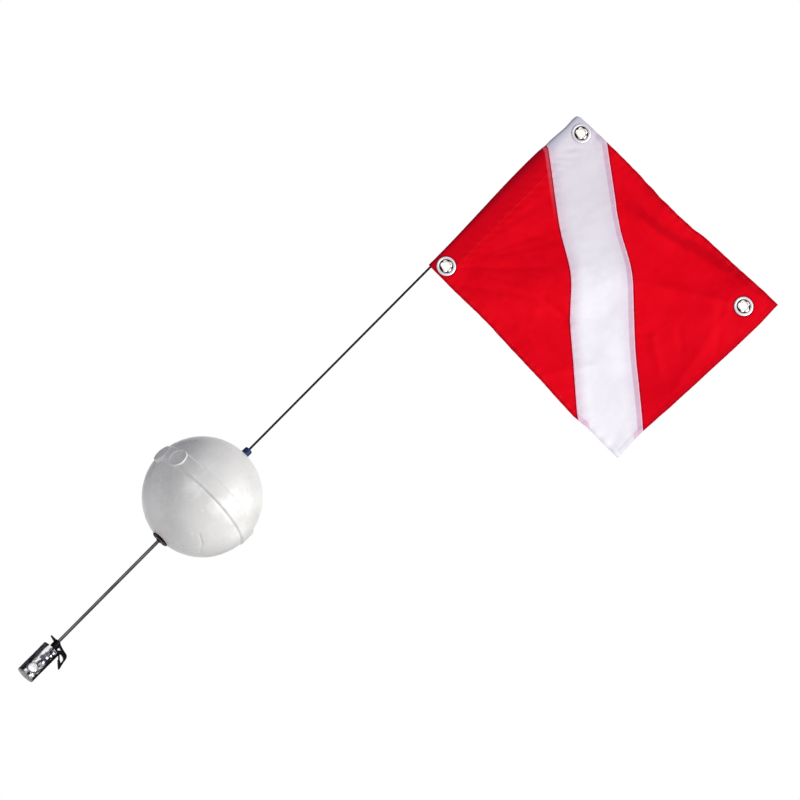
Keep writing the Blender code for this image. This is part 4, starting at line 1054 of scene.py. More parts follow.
def make_stops():
    top = WASHER_Z + WASHER_THICK
    washer = turned("stop_washer", [
        (LINER_BORE_R, top, 0.2), (WASHER_R, top, 0.5), (WASHER_R, WASHER_Z, 0.7),
        (WASHER_R - 2.4 * MM, WASHER_Z, 0.4), (WASHER_R - 3.0 * MM, WASHER_Z + 0.35 * MM, 0.4),
        (LINER_BORE_R + 1.0 * MM, WASHER_Z + 0.1 * MM, 0.4), (LINER_BORE_R, WASHER_Z, 0.2),
    ], 64)
    placed(washer, "spar", "retainer_washer", "rubber")
    top, foot = NUT_Z + NUT_THICK, NUT_Z - NUT_RISE

    def teeth(angle, radius, height):
        if radius > NUT_HUB_R + 1.2 * MM:
            return radius - 0.28 * MM * (0.5 + 0.5 * math.cos(12 * angle)), height
        return radius, height

    nut = turned("push_on_nut", [
        (NUT_HUB_R, top, 0.25), (NUT_R, top, 0.25), (NUT_R, NUT_Z, 0.25),
        (NUT_HUB_R, NUT_Z, 0.5), (NUT_BORE_R + NUT_THICK, foot, 0.25),
        (NUT_BORE_R, foot, 0.25), (NUT_BORE_R, foot + NUT_THICK, 0.25),
    ], 72, warp=teeth)
    placed(nut, "spar", "push_nut", "steel")


# Weight

def make_weight():
    seat = TUBE_R + GAP
    rows, start, length = 26, WEIGHT_TOP_Z - 2 * MM, 50 * MM
    side = [(WEIGHT_R, start - length * step / rows) for step in range(rows + 1)]

    def cast(angle, radius, height):
        if radius < WEIGHT_R - 3 * MM:
            return radius, height
        uneven = noise_at(math.cos(angle) * 1.3, math.sin(angle) * 1.3, height * 55)
        return radius + 0.16 * MM * uneven - 0.06 * MM, height

    weight = turned("weight_casting", [
        (0, TUBE_FOOT_Z - 0.3 * MM), (seat, TUBE_FOOT_Z - 0.3 * MM), (seat, WEIGHT_TOP_Z, 0.4),
        (WEIGHT_R, WEIGHT_TOP_Z, 1.6), *side, (WEIGHT_R, WEIGHT_FOOT_Z, 3.6),
        (0, WEIGHT_FOOT_Z),
    ], 96, closed=False, warp=cast)
    reach = WEIGHT_R + 5 * MM
    hole = cylinder("hole", CROSS_HOLE_R, (0, -reach, CROSS_HOLE_Z), (0, reach, CROSS_HOLE_Z), 64)
    combine(weight, hole)
    bm = bmesh.new()
    bm.from_mesh(weight.data)
    rim = [
        edge
        for edge in bm.edges
        if len(edge.link_faces) == 2
        and edge.calc_face_angle(0) > math.radians(35)
        and all(
            abs(math.hypot(v.co.x, v.co.z - CROSS_HOLE_Z) - CROSS_HOLE_R) < 0.15 * MM
            and abs(v.co.y) > 6 * MM
            for v in edge.verts
        )
    ]
    bmesh.ops.bevel(bm, geom=rim, offset=0.55 * MM, segments=2, affect="EDGES", profile=0.5)
    bm.to_mesh(weight.data)
    bm.free()
    smoothed(weight, 38)
    placed(weight, "spar", "tow_weight", "weight")


# Line clip

def eased_outline(shares, radius):
    return eased([(x * HOOK_REACH, z * HOOK_DROP, radius) for x, z in shares], True, 3)


def plate(name, outlines, thickness):
    """A flat plate in the XZ plane: the first outline is its edge, and the rest are holes."""
    curve = bpy.data.curves.new(name, "CURVE")
    curve.dimensions = "2D"
    curve.fill_mode = "BOTH"
    curve.extrude = thickness / 2
    for outline in outlines:
        spline = curve.splines.new("POLY")
        spline.points.add(len(outline) - 1)
        for point, (across, up) in zip(spline.points, outline):
            point.co = (across, up, 0, 1)
        spline.use_cyclic_u = True
    flat = linked(name, curve)
    bpy.context.view_layer.update()
    evaluated = flat.evaluated_get(bpy.context.evaluated_depsgraph_get())
    mesh = bpy.data.meshes.new_from_object(evaluated)
    bpy.data.objects.remove(flat, do_unlink=True)
    bpy.data.curves.remove(curve)
    bm = bmesh.new()
    bm.from_mesh(mesh)
    bpy.data.meshes.remove(mesh)
    bmesh.ops.remove_doubles(bm, verts=bm.verts, dist=0.005 * MM)
    for vert in bm.verts:
        vert.co = Vector((vert.co.x, -vert.co.z, vert.co.y))
    bmesh.ops.recalc_face_normals(bm, faces=bm.faces)
    return object_from(bm, name)


def make_clip():
    bush = turned("bush_sleeve", [
        (BUSH_LIP_R, BUSH_TOP_Z, 0.2), (BUSH_LIP_R, BUSH_TOP_Z - BUSH_LIP, 0.15),
        (BUSH_R, BUSH_TOP_Z - BUSH_LIP), (BUSH_R, BUSH_Z + BUSH_FLANGE),
        (BUSH_FLANGE_R, BUSH_Z + BUSH_FLANGE, 0.35), (BUSH_FLANGE_R, BUSH_Z, 0.35),
        (BUSH_BORE_R, BUSH_Z, 0.15), (BUSH_BORE_R, BUSH_TOP_Z, 0.15),
    ], 48)
    placed(bush, "clip_collar", "clip_bush", "clip")
    outlines = eased_outline(HOOK_OUTLINE_SHARES, 1.1), eased_outline(HOOK_WINDOW_SHARES, 0.6)
    hook = plate("hook_body", outlines, HOOK_THICK)
    hook.data.transform(Matrix.Translation((0, 0, HOOK_TOP_Z)))
    bevelled(hook, 0.75 * MM, 50)
    eye = turned("eye", [
        (0, HOOK_TOP_Z), (EYE_R, HOOK_TOP_Z, 0.6), (EYE_R, EYE_FOOT_Z, 0.6), (0, EYE_FOOT_Z),
    ], 56, closed=False)
    combine(hook, eye, "UNION")
    ends = (0, 0, EYE_FOOT_Z - 5 * MM), (0, 0, HOOK_TOP_Z + 5 * MM)
    combine(hook, cylinder("bore", BUSH_R + GAP, *ends))

    def through(half):
        """The two ends of a line through the pivot."""
        return (PIVOT_X, -half, PIVOT_Z), (PIVOT_X, half, PIVOT_Z)

    def down_gate(run):
        """The middle of a run down the gate from its pivot."""
        x = PIVOT_X + math.cos(GATE_TILT) * run / 2
        return x, 0, PIVOT_Z + math.sin(GATE_TILT) * run / 2

    slot_r = GATE_EYE_R + 2 * GAP
    half = GATE_WIDTH / 2 + GAP
    combine(hook, cylinder("slot", slot_r, *through(half)))
    run = GATE_LENGTH / 2
    combine(hook, block("channel", (run, 2 * half, 2 * slot_r), down_gate(run), -GATE_TILT))
    combine(hook, cylinder("pin_hole", PIN_R + GAP, *through(HOOK_THICK), 32))
    placed(smoothed(hook), "clip", "clip_hook", "clip")

    gate = cylinder("gate_bar", GATE_EYE_R, *through(GATE_WIDTH / 2))
    size = (GATE_LENGTH, GATE_WIDTH - 0.02 * MM, GATE_DEPTH)
    bar = block("bar", size, down_gate(GATE_LENGTH), -GATE_TILT)
    combine(gate, bevelled(bar, 0.4 * MM), "UNION")
    combine(gate, cylinder("eye_bore", PIN_R + GAP, *through(HOOK_THICK), 32))
    placed(smoothed(gate), "gate", "clip_gate", "clip")

    half = HOOK_THICK / 2 - GAP
    profile = [(0, half), (PIN_R, half, 0.25), (PIN_R, -half, 0.25), (0, -half)]
    pin = turned("pivot_pin", profile, 28, closed=False)
    turn = Matrix.Translation((PIVOT_X, 0, PIVOT_Z)) @ Matrix.Rotation(math.pi / 2, 4, "X")
    pin.data.transform(turn)
    placed(pin, "clip", "gate_pin", "steel")


# Flag: the same hanging as the CAD cloth, with finer creases on it

def trim(table, place):
    """A smooth line through a table of places and distances."""
    place /= MM
    for (low, before), (high, after) in zip(table, table[1:]):
        if place <= high:
            return MM * (before + (after - before) * smooth_share((place - low) / (high - low)))
    return MM * table[-1][1]


def hoist_x(up_share):
    """Where the sleeve's outer edge is at a share of the hoist."""
    up_share = min(max(up_share, 0.0), 1.0)
    straight = HOIST_X + (TOP_HOIST_X - HOIST_X) * up_share
    belly = SLEEVE_BELLY * math.sin(math.pi * up_share**SLEEVE_BELLY_POWER)
    return min(straight - belly - trim(HOIST_TRIM, up_share * FLAG_HOIST), -HOIST_LEAST)


def ridge_z(x):
    """How high the middle of the main ridge is, at a distance from the pole."""
    return x - RIDGE_BEND_DROP * smooth_share((x - RIDGE_BEND_X) / RIDGE_BEND_RUN)


def fold_window(x):
    """How much of the folds there is: none by the pole, and a share of them at the fly."""
    rise = smooth_share((x - FOLD_START_X) / POLE_FOLD_RUN)
    fall = smooth_share((TOP_FLY_X - x) / FOLD_RUN)
    return rise * (FLY_FOLD_SHARE + (1 - FLY_FOLD_SHARE) * fall)


def raw_fold(x, z):
    """How far the CAD cloth's folds stand away from the flag's plane."""
    across = (z - ridge_z(x)) / math.sqrt(2)
    ridge = -RIDGE_HEIGHT * bell(across / RIDGE_WIDTH)
    wave = WAVE_HEIGHT * math.sin(math.tau * across / WAVE_LENGTH)
    edge = (z - FLAG_HOIST) / EDGE_WAVE_DEPTH
    top_wave = EDGE_WAVE_HEIGHT * bell((x - EDGE_WAVE_X) / EDGE_WAVE_RUN) * bell(edge)
    from_corner = math.hypot(x - LOW_FLY_X, z + LOW_FLY_DROP)
    curl = CORNER_CURL * bell(from_corner / CORNER_CURL_RUN)
    return fold_window(x) * (ridge + wave + top_wave + curl)


def fold(x, z):
    """The same, eased, and level round each grommet."""
    to_fly = apart(x, z, FLY_GROMMET)
    ease = FOLD_EASE + (1 - FOLD_EASE) * bell(to_fly / FLY_EASE_RUN)
    height = ease * raw_fold(x, z)
    for place in GROMMETS:
        share = smooth_share((apart(x, z, place) - FLAT_SPOT_R) / FLAT_SPOT_FADE)
        height = share * height + (1 - share) * raw_fold(*place)
    return height


def crease_height(x, z):
    """Sharp creases, a light crumple, folds that fan out from the hoist grommet, and the part
    of the fly panel that leans."""
    point = Vector((x, z, 0))
    height = 0
    for start, end, depth, width, side in CREASES:
        start = Vector((*start, 0)) * MM
        end = Vector((*end, 0)) * MM
        along = end - start
        share = (point - start).dot(along) / along.length_squared
        off = (point - start - along * min(max(share, 0), 1)).length
        if off < 5 * width * MM:
            ends = smooth_share(min(share, 1 - share) * 4 + 0.5) if 0 < share < 1 else 0.5
            ends *= smooth_share(1.6 - max(-share, share - 1, 0) * 8)
            profile = math.exp(-((off / (CREASE_SHARE * width * MM)) ** 1.35))
            height += CREASE_SHARE * side * depth * MM * ends * profile
    cell = noise.voronoi(Vector((x * CRUMPLE_SCALE, z * CRUMPLE_SCALE, CRUMPLE_LAYER)))[0]
    share = smooth_share(noise.noise(point * CRUMPLE_SPREAD) + 0.75)
    height += CRUMPLE_DEPTH * MM * (cell[0] - 0.45) * share
    for depth, scale, layer in WRINKLES:
        height += depth * MM * noise_at(x * scale, z * scale, layer)
    from_x, from_z = x - HOIST_GROMMET[0], z - HOIST_GROMMET[1]
    reach = math.hypot(from_x, from_z)
    if reach > FAN_START:
        angle = math.atan2(from_z, from_x)
        fan = noise_at(angle * 15, reach * 5, 2.2)
        height += FAN_DEPTH * fan * smooth_share(reach / FAN_RISE_RUN) * bell(reach / FAN_REACH)
    above = x * LEAN_NORMAL[0] + z * LEAN_NORMAL[1] - LEAN_OFFSET
    along = (x - LEAN_START[0]) * LEAN_NORMAL[1] - (z - LEAN_START[1]) * LEAN_NORMAL[0]
    if above > 0:
        share = smooth_share(along / LEAN_RISE_RUN)
        share *= smooth_share((LEAN_LENGTH - along) / LEAN_FALL_RUN)
        height -= share * LEAN_SLOPE * above * smooth_share(above / LEAN_SOFT)
    return height


def waves(run, pitch, sway, *key):
    """Waves along a run, whose phase sways by noise. The pitch is in millimetres."""
    return math.sin(math.tau * run / (pitch * MM) + sway * noise_at(*key))


def pucker_height(across, up):
    """Short waves that the stitching draws up along the sleeve, the seams and the hems."""
    depth, width, pitch = SLEEVE_PUCKER
    wave = waves(up - 0.75 * across, pitch, 3, 0, up * 30, 5)
    height = depth * wave * bell((across - SLEEVE_FLAT + 1 * MM) / width)
    depth, width, pitch = SEAM_PUCKER
    point = Vector((across, up, 0))
    for number, (place, normal) in enumerate(stripe_edges()):
        off = (point - place).dot(normal)
        run = (point - place).cross(normal).z
        wave = waves(run, pitch, 4, run * 25, number, 2)
        height += depth * wave * bell(off / width)
    depth, width, pitch = HEM_PUCKER
    for off, run in ((up, across), (FLAG_HOIST - up, across + 0.1), (FLAG_FLY - across, up + 0.2)):
        wave = waves(run, pitch, 5, run * 20, 7, 4)
        height += depth * wave * bell((off - 2 * MM) / width)
    return height


def detail(across, up, x, z):
    """The fine shape of the cloth: none of it at the rod or at a grommet."""
    share = smooth_share((x - DETAIL_START_X) / DETAIL_RUN)
    for place in GROMMETS:
        share *= smooth_share((apart(x, z, place) - DETAIL_R) / DETAIL_FADE)
    if share == 0:
        return 0
    return share * (crease_height(x, z) + pucker_height(across, up))


def in_field(across, up):
    """Where a point of the flat cloth hangs, seen from the front: its edges are slanted, trimmed
    and drawn in along the ridge."""
    u_share = across / FLAG_FLY
    w_share = up / FLAG_HOIST
    low_x = HOIST_X + (LOW_FLY_X - HOIST_X) * u_share
    top_x = TOP_HOIST_X + (TOP_FLY_X - TOP_HOIST_X) * u_share
    low_z = -LOW_FLY_DROP * u_share
    top_z = FLAG_HOIST + TOP_FLY_RISE * u_share
    x = low_x + (top_x - low_x) * w_share
    z = low_z + (top_z - low_z) * w_share
    draw = DRAW_SHIFT * bell((z - ridge_z(x)) / math.sqrt(2) / DRAW_WIDTH) * fold_window(x)
    edge_room = smooth_share(up / DRAW_WIDTH) * smooth_share((FLAG_HOIST - up) / DRAW_WIDTH)
    x += draw * edge_room / math.sqrt(2)
    z += draw * edge_room / math.sqrt(2)
    z += trim(TOP_TRIM, across) * smooth_share(w_share * 2 - 1)
    z -= trim(FOOT_TRIM, across) * smooth_share(1 - w_share * 2)
    x += trim(FLY_TRIM, up) * smooth_share(u_share * 2 - 1)
    return x, z


def on_nose(across, up):
    """The quarter turn of the sleeve in front of the rod, from the hoist edge."""
    angle = math.pi * (1 + across / NOSE_FLAT / 2)
    x = -hoist_x(up / FLAG_HOIST) * math.cos(angle)
    return Vector((x, SLEEVE_R * math.sin(angle), FLAG_BOTTOM_Z + up))


def on_wrap(back, up):
    """The half turn of the sleeve behind the rod, from the hoist edge."""
    angle = math.pi * (1 - WRAP_TURN_SHARE * back / WRAP_FLAT)
    wide = WRAP_WIDE_SHARE * SLEEVE_R
    if math.cos(angle) < 0:
        wide = -hoist_x(up / FLAG_HOIST)
    deep = WRAP_DEEP_SHARE * SLEEVE_R
    return Vector((wide * math.cos(angle), deep * math.sin(angle), FLAG_BOTTOM_Z + up))


def on_cloth(across, up):
    """The middle of the cloth in space. Across is negative on the part folded back."""
    corner = CORNER_ROUND - abs(across)
    if corner > 0:
        drop = CORNER_ROUND - math.sqrt(CORNER_ROUND**2 - corner**2)
        up -= drop * smooth_share((up - FLAG_HOIST + CORNER_FADE) / CORNER_FADE)
    if across >= NOSE_FLAT:
        x, z = in_field(across, up)
        y = FLAG_Y + fold(x, z) + detail(across, up, x, z)
        return Vector((x, y, FLAG_BOTTOM_Z + z))
    if across >= 0:
        return on_nose(across, up)
    back = -across
    if back <= WRAP_FLAT:
        return on_wrap(back, up)
    if back <= TAIL_FLAT:
        start = on_wrap(WRAP_FLAT, up)
        end = Vector((TAIL_START_X, TAIL_Y, FLAG_BOTTOM_Z + up))
        return start.lerp(end, (back - WRAP_FLAT) / (TAIL_FLAT - WRAP_FLAT))
    share = (back - TAIL_FLAT) / (SLEEVE_FLAT - TAIL_FLAT)
    x = TAIL_START_X + (TAIL_END_X - TAIL_START_X) * share
    field_x, field_z = in_field(x - HOIST_X, up)
    y = TAIL_Y + detail(x - HOIST_X, up, field_x, field_z)
    return Vector((x, y, FLAG_BOTTOM_Z + up))


# The flat cloth's grid: its columns and rows, with a step close to each hem
COLUMNS = places((
    (-SLEEVE_FLAT, -TAIL_FLAT, 7), (-TAIL_FLAT, -WRAP_FLAT, 2), (-WRAP_FLAT, 0, 14),
    (0, NOSE_FLAT, 7), (NOSE_FLAT, SLEEVE_FLAT, 10), (SLEEVE_FLAT, FLY_HEM - HEM_STEP_LOW, 118),
    (FLY_HEM - HEM_STEP_LOW, FLY_HEM + HEM_STEP_HIGH, 1),
    (FLY_HEM + HEM_STEP_HIGH, FLAG_FLY, 3),
))
ROWS = places((
    (0, HEM_WIDTH - HEM_STEP_HIGH, 3),
    (HEM_WIDTH - HEM_STEP_HIGH, HEM_WIDTH + HEM_STEP_LOW, 1),
    (HEM_WIDTH + HEM_STEP_LOW, TOP_HEM - HEM_STEP_LOW, 98),
    (TOP_HEM - HEM_STEP_LOW, TOP_HEM + HEM_STEP_HIGH, 1),
    (TOP_HEM + HEM_STEP_HIGH, FLAG_HOIST, 3),
))


def stripe_edges():
    """A point on each seam of the stripe, and the direction across it, on the flat cloth."""
    left = Vector((0, STRIPE_LEFT_W, 0))
    left_run = Vector((STRIPE_FOOT_U, 0, 0)) - left
    right = Vector((STRIPE_RIGHT_U, FLAG_HOIST, 0))
    right_run = Vector((FLAG_FLY, STRIPE_RIGHT_W, 0)) - right
    turn = Vector((0, 0, 1))
    return (left, -left_run.cross(turn).normalized()), (right, -right_run.cross(turn).normalized())


# What the flat grid keeps of each point: where it hangs, which way is out, where it is flat
POINT_DATA = ("hung", "outward", "flat")


def flat_cloth():
    """The whole flag as a flat grid that also keeps each point's place in space."""
    bm = bmesh.new()
    hung, outward, flat = (bm.verts.layers.float_vector.new(key) for key in POINT_DATA)
    grid = []
    for up in ROWS:
        row = []
        for across in COLUMNS:
            vert = bm.verts.new(on_cloth(across, up))
            vert[hung] = vert.co
            vert[flat] = Vector((across, up, 0))
            row.append(vert)
        grid.append(row)
    for low, high in zip(grid, grid[1:]):
        for column in range(len(low) - 1):
            bm.faces.new((low[column], low[column + 1], high[column + 1], high[column]))
    bm.normal_update()
    for vert in bm.verts:
        vert[outward] = vert.normal
    for vert in bm.verts:
        vert.co = vert[flat]
    return bm


CLOTH_GRID = flat_cloth()


def hem_amount(across, up):
    """One in a hem and nothing in plain cloth."""
    edge = min(up, FLAG_HOIST - up, FLAG_FLY - across)
    return 1.0 if edge < HEM_WIDTH else 0.0


def make_cloth(name, node, sides, lift, grommet, finish):
    """One sheet: the flat grid cut at its seams, hung, thickened and holed for a grommet."""
    bm = CLOTH_GRID.copy()
    for point, normal in sides:
        everything = bm.verts[:] + bm.edges[:] + bm.faces[:]
        bmesh.ops.bisect_plane(
            bm, geom=everything, dist=0.01 * MM, plane_co=point, plane_no=normal, clear_inner=True
        )
    bmesh.ops.remove_doubles(bm, verts=bm.verts, dist=0.25 * MM)
    area = sum(face.calc_area() for face in bm.faces)
    hung, outward, flat = (bm.verts.layers.float_vector[key] for key in POINT_DATA)
    size = [
        max(vert.co[axis] for vert in bm.verts) - min(vert.co[axis] for vert in bm.verts)
        for axis in (0, 1)
    ]
    hems = []
    for vert in bm.verts:
        place = vert.co.copy()
        vert[flat] = place
        rise = lift
        if lift:
            inset = min(abs((place - point).dot(normal)) for point, normal in sides)
            rise = SEAM_LIFT + (lift - SEAM_LIFT) * smooth_share((inset - 1 * MM) / (6 * MM))
        hems.append(hem_amount(place.x, place.y))
        vert.co = vert[hung] + rise * vert[outward]
    panel = object_from(bm, name, 60)
    group = panel.vertex_groups.new(name="hem")
    for index, amount in enumerate(hems):
        group.add([index], amount, "REPLACE")
    solid = panel.modifiers.new("cloth", "SOLIDIFY")
    solid.thickness = HEM
    solid.offset = 0
    solid.vertex_group = "hem"
    solid.thickness_vertex_group = CLOTH / HEM
    baked(panel)
    x, z = grommet
    y = FLAG_Y + fold(x, z)
    z += FLAG_BOTTOM_Z
    combine(panel, cylinder("hole", CLOTH_HOLE_R, (x, y - 5 * MM, z), (x, y + 5 * MM, z), 40))
    smoothed(panel, 60)
    placed(panel, "flag", node, finish)
    return panel, size, area


def surface(across, up, lift):
    """The point of the hung cloth's face above a point of the flat cloth."""
    step = 0.4 * MM
    middle = on_cloth(across, up)
    along = on_cloth(across + step, up) - on_cloth(across - step, up)
    rise = on_cloth(across, min(up + step, FLAG_HOIST)) - on_cloth(across, max(up - step, 0))
    return middle + lift * along.cross(rise).normalized()


def add_stitches(bm, start, end, lift):
    """A row of stitches between two points of the flat cloth, as short low loops of thread."""
    start, end = Vector(start), Vector(end)
    count = int((end - start).length / STITCH_PITCH)
    for number in range(count):
        low, high = (start.lerp(end, (number + share) / count) for share in STITCH_ENDS)
        first = surface(low.x, low.y, lift)
        last = surface(high.x, high.y, lift)
        crest_lift = lift + math.copysign(STITCH_R, lift)
        crest = surface((low.x + high.x) / 2, (low.y + high.y) / 2, crest_lift)
        along = (last - first).normalized()
        side = along.cross(crest - (first + last) / 2).normalized()
        out = side.cross(along)
        rings = []
        for place, size in (
            (first, 0.25), (first.lerp(crest, 0.55), 1), (crest, 1.1),
            (last.lerp(crest, 0.55), 1), (last, 0.25),
        ):
            ring = []
            for corner in range(5):
                angle = math.tau * corner / 5
                offset = (side * math.cos(angle) + out * math.sin(angle)) * STITCH_R * size
                ring.append(bm.verts.new(place + offset))
            rings.append(ring)
        for lower, upper in zip(rings, rings[1:]):
            for corner in range(5):
                after = (corner + 1) % 5
                bm.faces.new((lower[corner], lower[after], upper[after], upper[corner]))
        bm.faces.new(rings[0][::-1])
        bm.faces.new(rings[-1])


def make_stitching():
    """Seam rows in white thread along the stripe, and red ones in the red hems and sleeve."""
    (left, left_normal), (right, right_normal) = stripe_edges()
    white, red = bmesh.new(), bmesh.new()
    for inset, raised in SEAM_ROWS:
        lift = SEAM_LIFT + CLOTH / 2 + SEAM_THREAD_LIFT + raised
        for start, end, normal, before, after in (
            (left, Vector((STRIPE_FOOT_U, 0, 0)), left_normal, NOSE_FLAT + 2 * MM, 5 * MM),
            (right, Vector((FLAG_FLY, STRIPE_RIGHT_W, 0)), -right_normal, 6 * MM, 8 * MM),
        ):
            run = (end - start).normalized()
            inward = normal * inset
            add_stitches(white, start + inward + run * before, end + inward - run * after, lift)
    foot, top, fly = STITCH_INSET, FLAG_HOIST - STITCH_INSET, FLAG_FLY - STITCH_INSET
    for side in (1, -1):
        for start, end in (
            ((6 * MM, foot), (STRIPE_FOOT_U - 12 * MM, foot)),
            ((fly, STRIPE_RIGHT_W + 10 * MM), (fly, FLAG_HOIST - 3 * MM)),
            ((STRIPE_RIGHT_U + 12 * MM, top), (FLAG_FLY - 3 * MM, top)),
        ):
            add_stitches(red, (*start, 0), (*end, 0), side * (HEM / 2 + THREAD_LIFT))
    sleeve_end = (SLEEVE_STITCH, STRIPE_LEFT_W - 28 * MM, 0)
    add_stitches(red, (SLEEVE_STITCH, 4 * MM, 0), sleeve_end, CLOTH / 2 + THREAD_LIFT)
    pieces = []
    for bm, name, slot, finish in (
        (white, "seam_stitching", "white_nylon", "white_thread"),
        (red, "hem_stitching", "red_nylon", "red_thread"),
    ):
        bmesh.ops.recalc_face_normals(bm, faces=bm.faces)
        pieces.append(placed(object_from(bm, name, 60), "flag", None, finish))
    return pieces


def make_flag(grommets):
    (left, left_normal), (right, right_normal) = stripe_edges()
    under_left = left + left_normal * SEAM_ALLOWANCE
    under_right = right - right_normal * SEAM_ALLOWANCE
    hoist, hoist_size, hoist_area = make_cloth(
        "hoist_cloth", "flag_hoist_panel", [(under_left, -left_normal)], 0,
        HOIST_GROMMET, "red")
    fly, fly_size, fly_area = make_cloth(
        "fly_cloth", "flag_fly_panel", [(under_right, right_normal)], 0,
        FLY_GROMMET, "red")
    stripe, stripe_size, stripe_area = make_cloth(
        "stripe_cloth", "flag_stripe",
        [(left, left_normal), (right, -right_normal)], LAYER, TOP_GROMMET, "white")
    white_rows, red_rows = make_stitching()


# Grommets

def make_grommet(name, place, front_lift, back_layers):
    """An eyelet pushed through the cloth from behind and rolled over a washer in front."""
    place_x, place_z = place
    front = front_lift + CAD_CLOTH / 2 + GAP
    back = -(back_layers * LAYER + CAD_CLOTH / 2 + GAP)
    middle = (place_x, FLAG_Y + fold(place_x, place_z), FLAG_BOTTOM_Z + place_z)
    lie = Matrix.Translation(middle) @ Matrix.Rotation(math.pi / 2, 4, "X")
    top = front + GROMMET_WASHER
    washer = turned(f"{name}_ring", [
        (BARREL_R + GAP, top, 0.1), (ROLL_R + 0.5 * MM, top, 0.3),
        (ROLL_R + 1.1 * MM, top - 0.22 * MM, 0.3), (ROLL_R + 1.9 * MM, top - 0.18 * MM, 0.4),
        (ROLL_R + 2.6 * MM, top + 0.06 * MM, 0.6),
        (GROMMET_WASHER_R - 1.0 * MM, top - 0.08 * MM, 0.7),
        (GROMMET_WASHER_R, front + 0.22 * MM, 0.2), (GROMMET_WASHER_R, front, 0.1),
        (BARREL_R + GAP, front, 0.1),
    ], 72)
    washer.data.transform(lie)
    placed(washer, "flag", f"{name}_washer", "nickel")
    foot = top + 0.05 * MM
    crest = top + GAP + ROLL_HEIGHT

    def split(angle, radius, height):
        """The rolled edge splits into petals, with gaps between them."""
        turn = angle + 0.16 * math.sin(2 * angle + 40 * place_x) + 0.10 * math.sin(3 * angle + 9)
        phase = (turn * PETALS / math.tau) % 1
        gap = math.exp(-(((phase - 0.5) / 0.19) ** 2))
        if height > foot - 0.01 * MM and radius > EYELET_BORE_R + 0.5 * MM:
            reach = (radius - EYELET_BORE_R) / (ROLL_R - EYELET_BORE_R)
            radius -= gap * reach * 1.9 * MM
            height = max(height - gap * reach * 0.6 * MM, foot)
        return radius, height

    eyelet = turned(f"{name}_barrel", [
        (EYELET_BORE_R, crest - 0.75 * MM, 0.4),
        (EYELET_BORE_R + 0.45 * MM, crest - 0.12 * MM, 0.4),
        (EYELET_BORE_R + 1.35 * MM, crest, 0.5), (ROLL_R - 0.55 * MM, crest - 0.22 * MM, 0.4),
        (ROLL_R, foot + 0.35 * MM, 0.3), (ROLL_R - 0.35 * MM, foot, 0.1),
        (BARREL_R, foot, 0.1), (BARREL_R, back, 0.1), (EYELET_FLANGE_R, back, 0.2),
        (EYELET_FLANGE_R, back - EYELET_FLANGE, 0.45),
        (BARREL_R + 0.4 * MM, back - EYELET_FLANGE, 0.8),
        (EYELET_BORE_R, back - 0.2 * MM, 0.5),
    ], 98, warp=split, sharp=45)
    eyelet.data.transform(lie)
    placed(eyelet, "flag", f"{name}_eyelet", "brass")
    return [washer, eyelet]


# Stage, lights and camera

def make_world():
    """White where the camera sees it, and through what is clear; a white studio with two dark
    flags in what is glossy; elsewhere a soft fill, dimmer and cooler from the top."""
    world = bpy.data.worlds.new("studio")
    SCENE.world = world
    world.use_nodes = True
    tree = world.node_tree
    tree.nodes.clear()
    way = add_node(tree, "ShaderNodeTexCoord").outputs["Generated"]
    path = add_node(tree, "ShaderNodeLightPath").outputs
    right, up = camera_axes()

    def towards(vector, low, high):
        inputs = [(0, way), (1, vector)]
        dot = add_node(tree, "ShaderNodeVectorMath", inputs, operation="DOT_PRODUCT")
        return band(tree, dot.outputs["Value"], low, high)

    def light(colour, strength=1.0):
        inputs = [("Color", colour), ("Strength", strength)]
        return add_node(tree, "ShaderNodeBackground", inputs).outputs[0]

    def most(a, b):
        return add_node(tree, "ShaderNodeMath", [(0, a), (1, b)], operation="MAXIMUM").outputs[0]

    def choose(share, a, b):
        return add_node(tree, "ShaderNodeMixShader", [(0, share), (1, a), (2, b)]).outputs[0]

    high = towards(tuple((up * 0.98 - right * 0.15).normalized()), -0.7, 0.9)
    fill = light(mixed(tree, high, (*FILL_LOW, 1), (*FILL_HIGH, 1)), WORLD_FILL)
    flags = most(*(
        towards(side, math.cos(math.radians(start)), math.cos(math.radians(end)))
        for side, start, end in DARK_FLAGS))
    glossy = light(mixed(tree, flags, (1, 1, 1, 1), (*DARK_FLAG, 1)))
    shine = choose(path["Is Glossy Ray"], fill, glossy)
    plain = most(path["Is Camera Ray"], path["Is Transmission Ray"])
    seen = choose(plain, shine, light((1, 1, 1, 1)))
    add_node(tree, "ShaderNodeOutputWorld", [("Surface", seen)])


def make_stage():
    bm = bmesh.new()
    bmesh.ops.create_grid(bm, x_segments=1, y_segments=1, size=FLOOR_HALF)
    floor = object_from(bm, "studio_floor")
    floor.location = (0, 0, FLOOR_Z)
    f = Finish("studio_floor_paint", (0.86, 0.86, 0.86), 0.8)
    f.set("Emission Color", (1, 1, 1, 1))
    f.set("Emission Strength", 0.05)
    f.ground(f.noise(f.place, 3, 3), (0.85, 0.85, 0.85), (0.88, 0.88, 0.88))
    f.to("Base Color", f.colour)
    floor.data.materials.append(f.material)


def make_lights():
    right, up = camera_axes()
    towards = (right * 0.82 - up * 0.12 + VIEW_BACK * 0.55).normalized()
    key = bpy.data.lights.new("key", "AREA")
    key.shape = "DISK"
    key.size = KEY_SIZE
    key.energy = KEY_ENERGY
    lamp = linked("key", key)
    lamp.location = KEY_TARGET + towards * KEY_DISTANCE
    lamp.rotation_mode = "QUATERNION"
    lamp.rotation_quaternion = towards.to_track_quat("Z", "Y")
    lamp.visible_camera = False


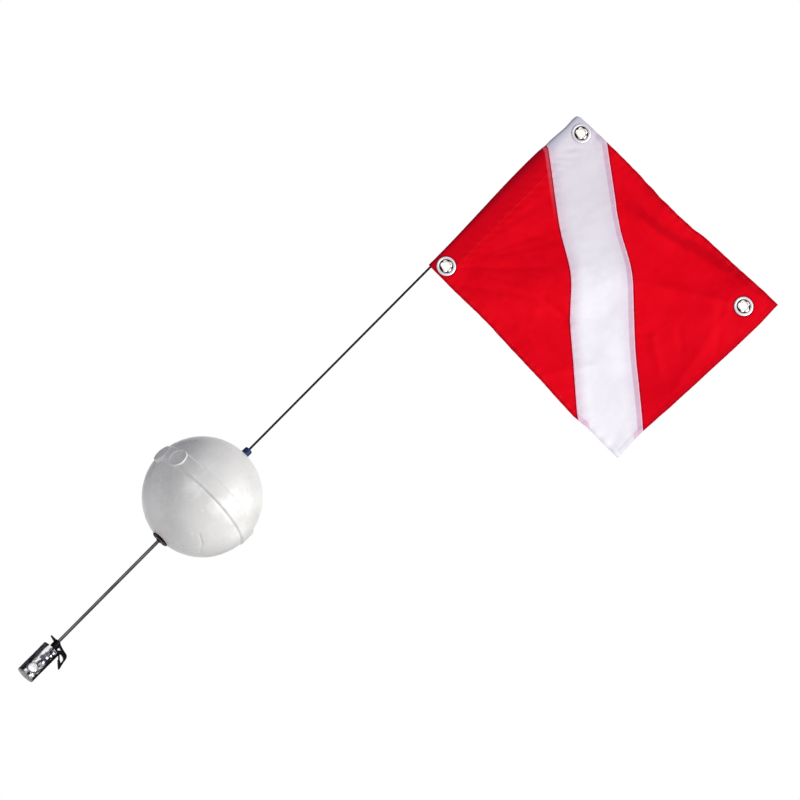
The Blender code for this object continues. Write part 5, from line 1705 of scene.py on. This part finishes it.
def make_camera():
    right, up = camera_axes()
    camera = bpy.data.cameras.new("camera")
    camera.lens = VIEW_LENS
    camera.sensor_width = SENSOR_WIDTH
    camera.clip_start = 0.1
    camera.clip_end = 200
    obj = linked("camera", camera)
    turn = Matrix((right, up, VIEW_BACK)).transposed()
    obj.matrix_world = Matrix.Translation(VIEW_TARGET + VIEW_BACK * VIEW_DISTANCE) @ turn.to_4x4()
    SCENE.camera = obj


def build():
    SCENE.view_settings.view_transform = "Standard"
    make_camera()
    make_world()
    make_stage()
    make_lights()
    FINISHES.update({
        "foam": bead_foam(),
        "weight": mottled_metal(),
        "tube": drawn_metal("tube_skin", (0.46, 0.46, 0.47), (0.13, 0.13, 0.135), 0.30),
        "rod": black_rod(),
        "clip": moulded_black("clip_skin", (0.0015, 0.0015, 0.0022), 0.32, 900),
        "rubber": moulded_black("washer_skin", (0.0025, 0.0022, 0.0022), 0.45, 1300),
        "vinyl": vinyl(),
        "liner": pale_plastic(),
        "steel": dark_steel(),
        "red": red_nylon(),
        "white": white_nylon(),
        "nickel": plated("nickel_skin", (0.59, 0.585, 0.62), (0.47, 0.44, 0.45), 0.55, 0.8, 0.45, (
            # Painted shadow: a dark ring just outside the eyelet's roll
            (BARREL_R + 1.2 * MM, 1.9, 1.0, (0.015, 0.013, 0.012)),
            # Painted shade: a lilac ring across the washer
            (ROLL_R + 2.2 * MM, 0.5, 0.75, (0.48, 0.49, 0.60)),
            (GROMMET_WASHER_R - 0.7 * MM, 0.6, 0.8, (0.76, 0.67, 0.70)),
        )),
        "brass": plated("brass_skin", (0.90, 0.82, 0.72), (0.40, 0.30, 0.18), 0.48, 0.70, 0.30),
        "white_thread": thread("white_thread_skin", (0.80, 0.77, 0.84)),
        "red_thread": thread("red_thread_skin", (0.62, 0.002, 0.010)),
    })
    make_pole()
    make_stop_cap()
    make_float()
    make_stops()
    make_weight()
    make_clip()
    make_flag({
        name: make_grommet(name, place, lift, layers)
        for name, place, lift, layers in (
            ("hoist_grommet", HOIST_GROMMET, 0, 1),
            ("top_grommet", TOP_GROMMET, LAYER, 2),
            ("fly_grommet", FLY_GROMMET, 0, 0),
        )
    })
    CLOTH_GRID.free()


build()
